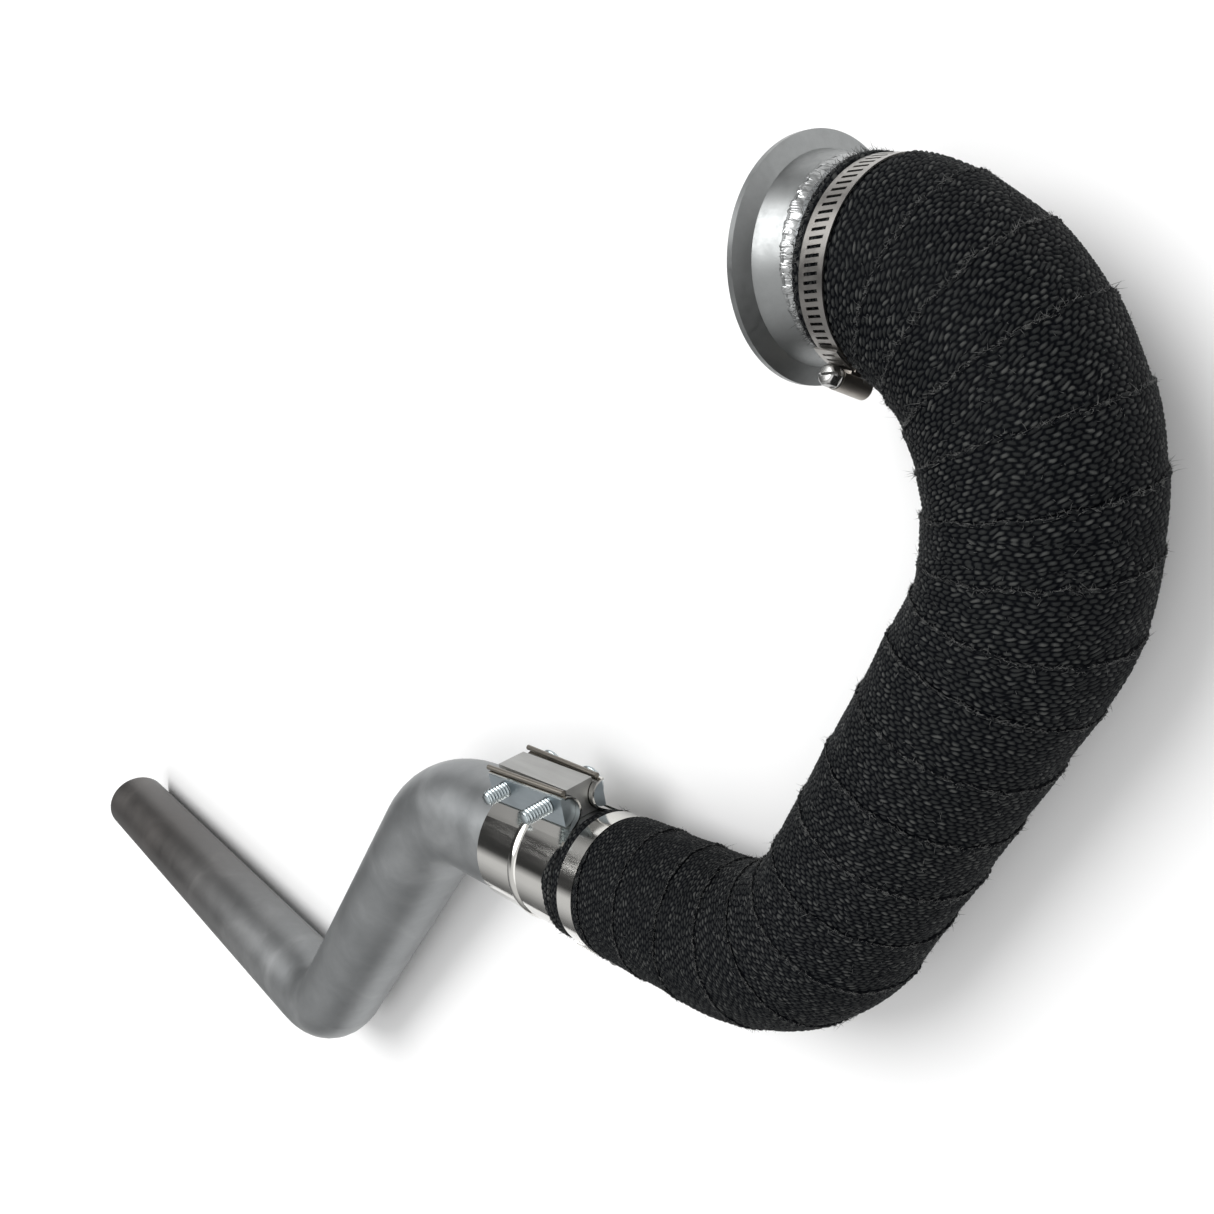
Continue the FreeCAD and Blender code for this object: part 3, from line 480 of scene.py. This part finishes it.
def clamp_frame():
    """The joint clamp's frame: +Z to the tail, +Y out through its block."""
    swivel = joint_named("clamp_swivel")
    along = np.array(swivel["axis"], float)
    along /= np.linalg.norm(along)
    up = np.array([0, 0, 1.0]) - along * along[2]
    out = spun(up / np.linalg.norm(up), along, math.radians(BLOCK_CLOCK))
    matrix = np.eye(4)
    matrix[:3, 0], matrix[:3, 1], matrix[:3, 2] = np.cross(out, along), out, along
    matrix[:3, 3] = swivel["pos_m"]
    return matrix


joint_frame = clamp_frame()


def edge_place(turn):
    """Where a tape edge lies along the centre line, by the turn count."""
    steady = TURN_MARK + np.where(turn < 0, PITCH_UPPER, PITCH_LOWER) * turn
    return steady + EDGE_WANDER * wobble(turn * 0.83, 5, 4) + EDGE_RAGGED * wobble(turn * 13, 6, 3)


def weave(cell, yarn, seed):
    """Height of the yarns' grain from 0 to 1, and a steady chance for each grain.

    The long factors only scatter row and grain numbers, so the chances need no random draw."""
    row = np.floor(yarn)
    across = yarn - row - 0.5
    cell = cell + 0.5 * (row % 2) + 0.13 * np.sin(row * 12.9898 + seed * 4.1)
    number = np.floor(cell)
    lens = np.sqrt(np.clip(1 - (2 * across) ** 2, 0, 1))
    grain = lens * (0.10 + 0.90 * np.clip(np.cos(math.pi * (cell - number - 0.5)), 0, 1) ** 0.7)
    return grain, np.abs(np.sin(number * 78.233 + row * 37.719 + seed * 11.7) * 43758.5453) % 1.0


def grain_shade_and_highlight(grain, luck):
    """How light a grain is painted: painted shade between the yarns, a painted highlight on each crown, brighter
    on some grains at random.
    """
    crown_highlight = smoothstep(0.5, 0.95, grain)
    body = 0.56 * smoothstep(0.24, 0.70, grain) * (0.78 + 0.22 * luck)
    return body + 0.20 * luck ** 3 * crown_highlight + 0.06 * crown_highlight


def wrap_points(turn, share, angle):
    """Surface of the wrap, with the tone of its yarns (painted shade between them, painted highlights on their
    crowns), by turn, share of a turn and angle.
    """
    count = turn + angle / (2 * math.pi) - TURN_PHASE
    here, following = edge_place(count), edge_place(count + 1)
    place = np.clip(here + share * (following - here), WRAP_START, WRAP_END)
    point, along, side, other, bend = line.at(place)
    outward = side * np.cos(angle)[..., None] + other * np.sin(angle)[..., None]
    squeeze = 1 - LOW_R * (outward * bend).sum(-1)
    off_edge = share * (following - here) * squeeze

    drift = 0.22 * wobble(count * 19, 41, 3)
    cells = CELLS_ROUND * (count + 40) + 0.35 * wobble(place / (9 * MM), 42, 2)
    bead, luck = weave(cells, off_edge / CELL_WIDE + drift * smoothstep(0, 3 * MM, off_edge), turn)

    lift = smoothstep(0, HEM, off_edge)
    thick = LOW_R + LAYER * (1 - share) * lift
    thick += 0.35 * MM * wobble(place / (55 * MM) + 0.7 * np.sin(angle), 8, 2)
    thick += 0.22 * MM * wobble(angle / (2 * math.pi) * 9 + turn * 0.37, 12, 2)
    thick += 0.40 * MM * np.exp(-((off_edge - HEM) / (0.6 * MM)) ** 2)
    from_band = (point + outward * COLLAR_R - upper_band[:3, 3]) @ upper_band[:3, 2]
    full = np.maximum(smoothstep(7.5 * MM, 9.6 * MM, from_band), place > UPPER_BAND_REACH)
    full *= 1 - smoothstep(-8.7 * MM, -7.0 * MM, place - LOWER_BAND_PLACE)
    radius = COLLAR_R + (thick - COLLAR_R) * full
    radius = radius + bead * CELL_HIGH * (0.75 + 0.25 * full) - 0.3 * MM * (1 - full)
    ends = smoothstep(0, 1.6 * MM, place - WRAP_START) * smoothstep(0, 1.2 * MM, WRAP_END - place)
    radius = TUBE_R + 0.1 * MM + (radius - TUBE_R - 0.1 * MM) * ends
    surface = point + outward * radius[..., None]

    under = (np.abs(from_band) < 7.4 * MM) & (place < UPPER_BAND_REACH)
    local = (surface - upper_band[:3, 3]) @ upper_band[:3, :3]
    reach = np.hypot(local[..., 0], local[..., 1])
    room = UPPER_BAND["inner"] - 0.1 * MM
    pull = np.where(under & (reach > room), room / reach, 1.0)
    local[..., 0] *= pull
    local[..., 1] *= pull
    surface = local @ upper_band[:3, :3].T + upper_band[:3, 3]
    beneath = np.abs(place - LOWER_BAND_PLACE) < BAND_HALF + 0.5 * MM
    low = (surface - point) / np.linalg.norm(surface - point, axis=-1, keepdims=True)
    surface = np.where(beneath[..., None], point + low * (COLLAR_R - 0.02 * MM), surface)

    # Painted shade between the yarns and painted highlights on their crowns, from each grain's height.
    tone = grain_shade_and_highlight(bead, luck)
    hem = np.exp(-((off_edge - HEM) / (0.8 * MM)) ** 2) * full
    patchy = smoothstep(-0.1, 0.8, wobble(count * 37, 43, 3))
    tone = tone * (1 - 0.4 * hem) + hem * patchy * (0.10 + 0.30 * luck)
    return surface, np.clip(tone, 0, 1), place


def build_wrap():
    """The whole helical surface, cut into pieces of a few turns."""
    turns = LAST_TURN - FIRST_TURN
    rows = turns * ROWS_PER_TURN + 1
    row, column = np.meshgrid(np.arange(rows), np.arange(COLUMNS), indexing="ij")
    turn = np.minimum(row // ROWS_PER_TURN, turns - 1) + FIRST_TURN
    share = (row - (turn - FIRST_TURN) * ROWS_PER_TURN) / ROWS_PER_TURN
    angle = 2 * math.pi * column / COLUMNS
    surface, tone, place = wrap_points(turn.astype(float), share, angle)
    surface, tone, place = surface.reshape(-1, 3), tone.ravel(), place.ravel()

    row, column = np.meshgrid(np.arange(rows - 1), np.arange(COLUMNS), indexing="ij")
    closing = column == COLUMNS - 1
    ahead = np.where(closing, 0, column + 1)
    shift = np.where(closing, ROWS_PER_TURN, 0)
    quads = np.stack([row * COLUMNS + column, (row + shift) * COLUMNS + ahead,
                      (row + shift + 1) * COLUMNS + ahead, (row + 1) * COLUMNS + column], -1)
    inside = row + shift + 1 < rows
    quads, row = quads[inside], row[inside]
    spread = place[quads]
    low, high = spread.min(-1), spread.max(-1)
    real = (high - low > 1e-7) & (high > WRAP_START) & (low < WRAP_END)
    quads, row = quads[real], row[real]
    groups = np.array_split(np.unique(row // ROWS_PER_TURN), PIECES)
    for number, group in enumerate(groups, start=1):
        faces = quads[np.isin(row // ROWS_PER_TURN, group)]
        used, renamed = np.unique(faces, return_inverse=True)
        item = mesh_object("heat_wrap_turns_%d" % number, surface[used], renamed.reshape(faces.shape))
        finished(with_tone_and_painted_shading(item, tone[used]), woven, "woven_wrap", "downpipe", "heat_wrap")


# ------------------------------------------------------------------ frayed fibres


EDGE_HAIRS, FUZZ_HAIRS, END_HAIRS, TUCKED_HAIRS = 20000, 5000, 1400, 650
BAND_CLEAR = 9 * MM    # no hairs nearer than this to the lower band's middle


def fibre_mesh(name, roots, directions, lengths, thickness, curl):
    """Many thin tapered hairs in one mesh, each a bent three-sided spike."""
    count = len(roots)
    directions = directions / np.linalg.norm(directions, axis=1, keepdims=True)
    aside = np.cross(directions, rng.normal(size=(count, 3)))
    aside /= np.linalg.norm(aside, axis=1, keepdims=True)
    third = np.cross(directions, aside)
    rings = []
    for level in (0.0, 0.55):
        middle = (roots + directions * (lengths * level)[:, None]
                  + aside * (curl * lengths * level ** 2)[:, None])
        radius = (thickness * (1 - 0.55 * level))[:, None]
        for corner in range(3):
            turn = 2 * math.pi * corner / 3
            rings.append(middle + (aside * math.cos(turn) + third * math.sin(turn)) * radius)
    tip = roots + directions * lengths[:, None] + aside * (curl * lengths)[:, None]
    points = np.stack(rings + [tip], 1)
    faces = []
    for corner in range(3):
        ahead = (corner + 1) % 3
        faces += [(corner, ahead, ahead + 3), (corner, ahead + 3, corner + 3), (corner + 3, ahead + 3, 6)]
    faces = (np.array(faces)[None] + (np.arange(count) * 7)[:, None, None]).reshape(-1, 3)
    return mesh_object(name, points.reshape(-1, 3), faces)


def build_edge_fray():
    """Loose ends along every tape edge, a few of them in longer tufts."""
    turns = rng.uniform(-8.2, 10.9, EDGE_HAIRS)
    place = edge_place(turns)
    clear = (place > 49 * MM) & (place < LOWER_BAND_PLACE - BAND_CLEAR)
    turns, place = turns[clear], place[clear]
    point, along, outward, round_way = skin_directions(place, 2 * math.pi * (turns + TURN_PHASE))
    lean = rng.normal(size=(len(turns), 3))
    direction = (-along * (0.35 + 0.5 * lean[:, :1]) + round_way * 1.5 * lean[:, 1:2]
                 + outward * (0.08 + 0.20 * np.abs(lean[:, 2:3])))
    roots = point + outward * (LOW_R + 1.45 * MM) + along * rng.uniform(0, 1.4, (len(turns), 1)) * MM
    lengths = rng.gamma(2.0, 0.55, len(turns)) * MM + 0.5 * MM
    tufts = rng.random(len(turns)) < 0.03
    lengths[tufts] *= 1.8
    direction[tufts] += outward[tufts] * 0.8
    hairs = fibre_mesh("wrap_edge_fray", roots, direction, lengths,
                       np.full(len(turns), 0.10 * MM), rng.normal(0, 0.35, len(turns)))
    finished(hairs, fray, "woven_wrap", "downpipe")


def build_surface_fuzz():
    """Thin fuzz all over the turns."""
    place = rng.uniform(52 * MM, LOWER_BAND_PLACE - BAND_CLEAR, FUZZ_HAIRS)
    angle = rng.uniform(0, 2 * math.pi, FUZZ_HAIRS)
    point, along, outward, round_way = skin_directions(place, angle)
    lean = rng.normal(size=(FUZZ_HAIRS, 3))
    direction = (along * lean[:, :1] + round_way * 1.6 * lean[:, 1:2]
                 + outward * (0.15 + 0.35 * np.abs(lean[:, 2:3])))
    hairs = fibre_mesh("wrap_surface_fuzz", point + outward * (LOW_R + 1.1 * MM), direction,
                       rng.gamma(2.0, 0.45, FUZZ_HAIRS) * MM + 0.4 * MM,
                       np.full(FUZZ_HAIRS, 0.08 * MM), rng.normal(0, 0.4, FUZZ_HAIRS))
    finished(hairs, fray, "woven_wrap", "downpipe")


def build_end_fray():
    """The ragged end of the wrap by the flange."""
    place = rng.uniform(24.2 * MM, 28.0 * MM, END_HAIRS)
    angle = rng.uniform(0, 2 * math.pi, END_HAIRS)
    point, along, outward, round_way = skin_directions(place, angle)
    lean = rng.normal(size=(END_HAIRS, 3))
    direction = (along * -1 * (0.25 + 0.3 * np.abs(lean[:, :1])) + round_way * 0.9 * lean[:, 1:2]
                 + outward * (0.35 + 0.4 * np.abs(lean[:, 2:3])))
    lengths = rng.gamma(2.0, 0.7, END_HAIRS) * MM + 0.5 * MM
    hairs = fibre_mesh("wrap_end_fray", point + outward * 39.6 * MM, direction, lengths,
                       np.full(END_HAIRS, 0.13 * MM), rng.normal(0, 0.4, END_HAIRS))
    finished(hairs, fray, "woven_wrap", "downpipe")


def build_tucked_edge():
    """The last turn's frayed edge, which rides up over the strap and turns with the clamp."""
    body = joint_named("clamp_swivel")["child"]
    around, rows = 900, 22
    skirt = 1.45 * MM    # how far it starts before the strap's own edge
    first, last = math.radians(180 - STRAP_LEAVE + 7), math.radians(360 + STRAP_LEAVE - 7)
    share, across = np.meshgrid(np.linspace(0, 1, around), np.linspace(0, 1, rows), indexing="ij")
    angle = first + (last - first) * share
    ends = smoothstep(0, 0.03, share) * smoothstep(0, 0.03, 1 - share)
    taper = smoothstep(0, 0.10, share) * smoothstep(0, 0.10, 1 - share)
    near_loops = 1 - smoothstep(0.0, 0.34, share) + smoothstep(0.66, 1.0, share)
    reach = 3.0 * MM + 3.6 * MM * near_loops + 0.7 * MM * wobble(share * 6, 31, 3)
    reach = reach * (0.12 + 0.88 * taper)
    low = -STRAP_HALF - skirt
    height = low + (reach + skirt) * across
    grain, luck = weave(angle * CELLS_ROUND / (2 * math.pi), (height - low) / CELL_WIDE, 3.0)
    rise = smoothstep(0.0, 0.35, across) * smoothstep(0, 0.14, 1 - across)
    radius = STRAP_R + 0.12 * MM + (0.55 * MM + 0.75 * MM * grain) * rise * (0.3 + 0.7 * ends)
    points = round_points(radius, angle, height).reshape(-1, 3)
    item = mesh_object("wrap_tucked_edge", placed(joint_frame, points),
                       grid_faces(around, rows, closed=False))
    # The tucked edge's tone holds painted shade between the yarns and painted highlights on their crowns.
    finished(with_tone_and_painted_shading(item, grain_shade_and_highlight(grain, luck)), woven, "woven_wrap", body)

    count = TUCKED_HAIRS
    angle = rng.uniform(first, last, count)
    round_point = np.stack([np.cos(angle), np.sin(angle), np.zeros(count)], -1)
    base = np.where(rng.random(count) < 0.6, low + 3.4 * MM, low + 0.4 * MM)
    roots = round_point * (STRAP_R + 0.9 * MM) + np.array([0, 0, 1.0]) * base[:, None]
    lean = rng.normal(size=(count, 3))
    forward = np.where(base > -STRAP_HALF, 1.0, -0.4)[:, None]
    direction = (np.array([0, 0, 1.0]) * forward * (0.4 + 0.4 * np.abs(lean[:, :1]))
                 + np.cross(round_point, [0, 0, 1.0]) * lean[:, 1:2]
                 + round_point * (0.1 + 0.25 * np.abs(lean[:, 2:3])))
    lengths = rng.gamma(2.0, 0.5, count) * MM + 0.5 * MM
    thick = np.full(count, 0.12 * MM)
    long_ones = rng.random(count) < 0.006
    lengths[long_ones] = rng.uniform(4, 8, long_ones.sum()) * MM
    thick[long_ones] = 0.22 * MM
    hairs = fibre_mesh("tucked_edge_fray", placed(joint_frame, roots), direction @ joint_frame[:3, :3].T,
                       lengths, thick, rng.normal(0, 0.5, count))
    finished(hairs, fray, "woven_wrap", body)


build_wrap()
build_edge_fray()
build_surface_fuzz()
build_end_fray()
build_tucked_edge()

# ------------------------------------------------------------------ weld bead

FLANGE_LENGTH = 20.0 * MM


def build_weld():
    """A hand-laid bead: overlapping ripples, uneven in width and height."""
    around, profile = 1500, 21
    angle = np.arange(around) * 2 * math.pi / around
    share = np.linspace(0, 1, profile)
    turn, across = np.meshgrid(angle, share, indexing="ij")
    share_round = turn / (2 * math.pi)
    beat = share_round * 150 + 1.1 * wobble(share_round * 29, 3, 3)
    half = (3.9 + 0.6 * wobble(share_round * 17, 21, 3)) * MM
    drift = 0.4 * MM * wobble(share_round * 7, 22, 3)
    high = (0.95 + 0.22 * wobble(share_round * 31, 23, 4)) * MM
    bow = np.sin(math.pi * across)
    scale = (beat + 1.1 * bow + 0.35 * np.sin(9 * across + 5 * wobble(share_round * 11, 25, 2))) % 1.0
    uneven = 0.55 + 0.45 * wobble(share_round * 61, 24, 2)
    ripple = 0.26 * MM * uneven * (0.5 + 0.5 * np.cos(2 * math.pi * scale)) * bow
    sink, slope = 0.35 * MM, 1.4 * MM
    radius = TUBE_R - sink + slope * (1 - across) + (high + ripple) * bow ** 0.8
    height = FLANGE_LENGTH + drift + half * (2 * across - 1)
    points = round_points(radius, turn, height).reshape(-1, 3)
    matrix = framed(np.zeros(3), INLET_AXIS, INLET_INWARD)
    faces = grid_faces(around, profile, closed=False)
    closing = np.arange(profile - 1) + (around - 1) * profile
    last = np.stack([closing, closing + 1, np.arange(1, profile), np.arange(profile - 1)], -1)
    item = mesh_object("flange_weld", placed(matrix, points), np.concatenate([faces, last[:, ::-1]]))
    finished(item, FINISHES["weld_metal"], "weld_metal", "downpipe", "flange_weld_bead")


build_weld()

# ------------------------------------------------------------------ bolts and screws


def lathe(profile, around=48):
    """Points and quads of a profile of (radius, height) turned about Z."""
    turn = np.arange(around) * 2 * math.pi / around
    rings = [round_points(radius, turn, np.full(around, height)) for radius, height in profile]
    return np.concatenate(rings), grid_faces(len(profile), around)


def threaded(start, end, major, minor, pitch, around=40, steps=9):
    """A rod with a screw thread between two heights, tapering out at its end."""
    rows = int((end - start) / pitch * steps) + 1
    height = np.linspace(start, end, rows)
    turn = np.arange(around) * 2 * math.pi / around
    level, angle = np.meshgrid(height, turn, indexing="ij")
    phase = (level / pitch - angle / (2 * math.pi)) % 1.0
    crest = np.clip(1.35 * (1 - np.abs(2 * phase - 1)) - 0.15, 0, 1)
    radius = minor + (major - minor) * crest
    taper = smoothstep(0, pitch * 0.9, end - level)
    radius = (minor - 0.25 * MM) + (radius - minor + 0.25 * MM) * taper
    return round_points(radius, angle, level).reshape(-1, 3), grid_faces(rows, around)


def joined(parts):
    """One point and face array from several."""
    points, faces, base = [], [], 0
    for part_points, part_faces in parts:
        points.append(part_points)
        faces.append(part_faces + base)
        base += len(part_points)
    return np.concatenate(points), np.concatenate(faces)


def axis_frame(joint):
    """Frame of a hinge: its point, with +Z along its axis."""
    axis = np.array(joint["axis"], float)
    axis /= np.linalg.norm(axis)
    helper = np.array([1.0, 0, 0]) if abs(axis[0]) < 0.9 else np.array([0, 1.0, 0])
    return framed(np.array(joint["pos_m"], float), axis, helper)


def head_down(node, joint):
    """Frame along a hinge with the node's head at the low end, and the node's reach along it."""
    mesh = frame["nodes"][node].data
    flat = np.empty(len(mesh.vertices) * 3)
    mesh.vertices.foreach_get("co", flat)
    matrix = axis_frame(joint)
    local = (flat.reshape(-1, 3) - matrix[:3, 3]) @ matrix[:3, :3]
    wide = np.hypot(local[:, 0], local[:, 1])
    head = local[wide > 0.9 * wide.max(), 2].mean()
    if head > (local[:, 2].min() + local[:, 2].max()) / 2:
        matrix[:3, 1:3] *= -1
        local[:, 2] *= -1
    return matrix, local[:, 2].min(), local[:, 2].max()


def build_bolt(which):
    """A plated bolt: domed head, plain shank and rolled thread with a chamfered tip."""
    node = "joint_bolt_" + which
    matrix, low, high = head_down(node, joint_named(which + "_bolt_turn"))
    head, radius, head_r = 5.5 * MM, 4.95 * MM, 10.5 * MM
    minor, pitch = 4.0 * MM, 2.1 * MM
    seat, thread_from = low + head, high - 30 * MM
    steps, dome_end = 12, math.radians(74.4)
    dome = [(0.02 * MM, low)]
    for step in range(1, steps + 1):
        lean = math.radians(step * 6.2)
        dome.append((head_r * math.sin(lean) / math.sin(dome_end),
                     low + (head - 1.1 * MM) * (1 - math.cos(lean)) / (1 - math.cos(dome_end))))
    dome += [(head_r, seat - 0.7 * MM), (head_r - 0.25 * MM, seat), (radius, seat), (radius, thread_from)]
    thread = threaded(thread_from, high - 0.5 * MM, radius, minor, pitch)
    tip = lathe([(3.8 * MM, high - 0.55 * MM), (3.35 * MM, high), (0.02 * MM, high - 0.1 * MM)], 40)
    points, faces = joined([lathe(dome), thread, tip])
    item = mesh_object("clamp_bolt_" + which, placed(matrix, points), faces[:, ::-1])
    item.data.flip_normals()
    finished(item, FINISHES["zinc_bolt"], "zinc_bolt", which + "_bolt", node)


def build_worm_screw(which):
    """A worm screw with a flanged, slotted hexagon head."""
    node = which + "_clamp_screw"
    matrix, low, high = head_down(node, joint_named(which + "_screw_turn"))
    head, flange = 5.2 * MM, 1.0 * MM
    half_flats = 4.0 * MM
    worm_r, worm_minor, worm_pitch = 3.5 * MM, 2.7 * MM, 3.175 * MM
    around = 72
    turn = np.arange(around) * 2 * math.pi / around
    sector = (turn % (math.pi / 3)) - math.pi / 6
    hexagon = half_flats / np.cos(sector)
    rings = []
    for height, limit in ((low, 2.9), (low + 0.25 * MM, 3.5), (low + 0.8 * MM, 4.05),
                          (low + 1.6 * MM, 4.7), (low + head, 4.7)):
        rings.append(round_points(np.minimum(hexagon, limit * MM), turn, np.full(around, height)))
    floor = low + 2.4 * MM
    cap = np.array([[0.0, 0.0, low]])
    points = np.concatenate(rings)
    faces = grid_faces(len(rings), around)
    head_item = mesh_object(which + "_screw_head_blank", np.concatenate([points, cap]), faces)
    mesh = head_item.data
    work = bmesh.new()
    work.from_mesh(mesh)
    work.verts.ensure_lookup_table()
    middle = work.verts[len(points)]
    for number in range(around):
        work.faces.new((work.verts[(number + 1) % around], work.verts[number], middle))
    base = [work.verts[(len(rings) - 1) * around + number] for number in range(around)]
    work.faces.new(base)
    bmesh.ops.recalc_face_normals(work, faces=work.faces)
    work.to_mesh(mesh)
    work.free()
    slot_corners = [(-6, -0.55), (6, -0.55), (6, 0.55), (-6, 0.55)]
    corners = np.array([[x * MM, y * MM, z] for z in (low - 2 * MM, floor) for x, y in slot_corners])
    box_faces = [(0, 3, 2, 1), (4, 5, 6, 7), (0, 1, 5, 4), (1, 2, 6, 5), (2, 3, 7, 6), (3, 0, 4, 7)]
    cutter = mesh_object(which + "_slot_tool", corners, box_faces, smooth=False)
    slot = head_item.modifiers.new("slot", "BOOLEAN")
    slot.operation, slot.object, slot.solver = "DIFFERENCE", cutter, "EXACT"
    bpy.context.view_layer.update()
    done = bpy.data.meshes.new_from_object(head_item.evaluated_get(bpy.context.evaluated_depsgraph_get()))
    flat = np.array([vertex.co for vertex in done.vertices])
    head_faces = [tuple(face.vertices) for face in done.polygons]
    for scrap in (head_item, cutter):
        bpy.data.objects.remove(scrap)
    collar_at = low + head
    collar = lathe([(0.1 * MM, collar_at), (4.3 * MM, collar_at), (4.5 * MM, collar_at + 0.2 * MM),
                    (4.5 * MM, collar_at + flange - 0.2 * MM), (4.3 * MM, collar_at + flange),
                    (2.9 * MM, collar_at + flange)])
    worm = threaded(collar_at + flange, high, worm_r, worm_minor, worm_pitch)
    end = lathe([(2.45 * MM, high - 0.01 * MM), (0.02 * MM, high)], 40)
    base_points, base_faces = joined([collar, worm, end])
    offset = len(flat)
    faces = head_faces + [tuple(int(corner) + offset for corner in face) for face in base_faces]
    item = mesh_object("worm_screw_" + which, placed(matrix, np.concatenate([flat, base_points])), faces)
    item.data.set_sharp_from_angle(angle=math.radians(35))
    finished(item, FINISHES["clamp_screw"], "clamp_screw", which + "_screw", node)


for which in ("near", "far"):
    build_bolt(which)
for which in ("upper", "lower"):
    build_worm_screw(which)

# ------------------------------------------------------------------ stage, light, camera

CAMERA_AT = Vector((-0.2950, 0.0638, 0.3579))
CAMERA_RIGHT = Vector((-0.6325, 0.0301, -0.7740))
CAMERA_AHEAD = Vector((0.7658, 0.1748, -0.6189))
SENSOR_WIDTH, LENS = 36.0, 30.82    # millimetres
FLOOR_HALF, FLOOR_BELOW = 9.0, 0.0002
PALE, DIM = (1, 1, 1), (0.045, 0.045, 0.045)


def build_camera():
    """The camera, at the photograph's viewing angle."""
    camera = bpy.data.cameras.new("camera")
    camera.sensor_width, camera.lens = SENSOR_WIDTH, LENS
    camera.clip_start, camera.clip_end = 0.02, 60.0
    item = bpy.data.objects.new("camera", camera)
    bpy.context.scene.collection.objects.link(item)
    ahead = CAMERA_AHEAD.normalized()
    right = (CAMERA_RIGHT - ahead * CAMERA_RIGHT.dot(ahead)).normalized()
    up = right.cross(ahead)
    turn = Matrix((right, up, -ahead)).transposed()
    item.matrix_world = Matrix.Translation(CAMERA_AT) @ turn.to_4x4()
    bpy.context.scene.camera = item


def build_floor():
    """A plain pale floor just under the lowest point."""
    low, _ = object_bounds()
    size = FLOOR_HALF
    corners = np.array([[-size, -size, 0], [size, -size, 0], [size, size, 0], [-size, size, 0]])
    corners = corners + np.array([0.4, 0.3, low.z - FLOOR_BELOW])
    item = mesh_object("floor", corners, [(0, 1, 2, 3)], smooth=False)
    shader = Shader("floor", (0.86, 0.86, 0.86), 0.0, 0.85)
    shader.surface.inputs["Specular IOR Level"].default_value = 0.1
    item.data.materials.append(shader.material)


def build_world():
    """Studio surroundings: a neutral pale dome, with one soft-edged dim grey card on the +X side.

    The backdrop seen straight on is plain pale; lighting and mirrored rays get the dome."""
    world = bpy.data.worlds.new("studio")
    world.use_nodes = True
    bpy.context.scene.world = world
    tree = world.node_tree
    link = tree.links.new
    background = tree.nodes["Background"]
    split = tree.nodes.new("ShaderNodeSeparateXYZ")
    link(tree.nodes.new("ShaderNodeTexCoord").outputs["Generated"], split.inputs["Vector"])

    def ramp(source, low, high, stops):
        """A grey ramp over (value, colour) stops, for values between low and high."""
        spread = tree.nodes.new("ShaderNodeMapRange")
        spread.inputs["From Min"].default_value, spread.inputs["From Max"].default_value = low, high
        link(source, spread.inputs["Value"])
        made = tree.nodes.new("ShaderNodeValToRGB")
        while len(made.color_ramp.elements) < len(stops):
            made.color_ramp.elements.new(0.5)
        for element, (place, colour) in zip(made.color_ramp.elements, stops):
            element.position = (place - low) / (high - low)
            element.color = (*colour, 1)
        link(spread.outputs["Result"], made.inputs["Fac"])
        return made.outputs["Color"]

    dim_x = ramp(split.outputs["X"], -1.0, 1.0, [(0.30, (0, 0, 0)), (0.55, (1, 1, 1))])
    dim_y = ramp(split.outputs["Y"], -1.0, 1.0, [(-0.62, (0, 0, 0)), (-0.42, (1, 1, 1)),
                                                 (0.16, (1, 1, 1)), (0.32, (0, 0, 0))])
    dome = ramp(split.outputs["Z"], 0.0, 1.0, [(0.0, (0.09, 0.09, 0.09)), (0.22, (0.30, 0.30, 0.30)),
                                               (0.5, (0.78, 0.78, 0.78)), (1.0, (0.96, 0.96, 0.96))])
    card = tree.nodes.new("ShaderNodeMath")
    card.operation = "MULTIPLY"
    link(dim_x, card.inputs[0])
    link(dim_y, card.inputs[1])
    lit = tree.nodes.new("ShaderNodeMix")
    lit.data_type = "RGBA"
    link(card.outputs["Value"], lit.inputs[MIX_SHARE])
    link(dome, lit.inputs[MIX_FIRST])
    lit.inputs[MIX_SECOND].default_value = (*DIM, 1)
    link(lit.outputs[MIX_RESULT], background.inputs["Color"])
    plain = tree.nodes.new("ShaderNodeBackground")
    plain.inputs["Color"].default_value = (*PALE, 1)
    path = tree.nodes.new("ShaderNodeLightPath")
    choice = tree.nodes.new("ShaderNodeMixShader")
    link(path.outputs["Is Camera Ray"], choice.inputs["Fac"])
    link(background.outputs["Background"], choice.inputs[1])
    link(plain.outputs["Background"], choice.inputs[2])
    link(choice.outputs["Shader"], tree.nodes["World Output"].inputs["Surface"])


def soft_sun(name, direction, angle, strength):
    """Even light from a wide soft source far away; the angle is its apparent width in degrees."""
    light = bpy.data.lights.new(name, "SUN")
    light.angle, light.energy = math.radians(angle), strength
    item = bpy.data.objects.new(name, light)
    bpy.context.scene.collection.objects.link(item)
    item.rotation_euler = Vector(direction).to_track_quat("Z", "Y").to_euler()


build_camera()
build_floor()
build_world()
soft_sun("key", direction=(0.34, -0.45, 0.82), angle=46, strength=2.3)
soft_sun("fill", direction=(-0.5, 0.3, 0.8), angle=60, strength=0.5)
bpy.context.scene.view_settings.view_transform = "Standard"
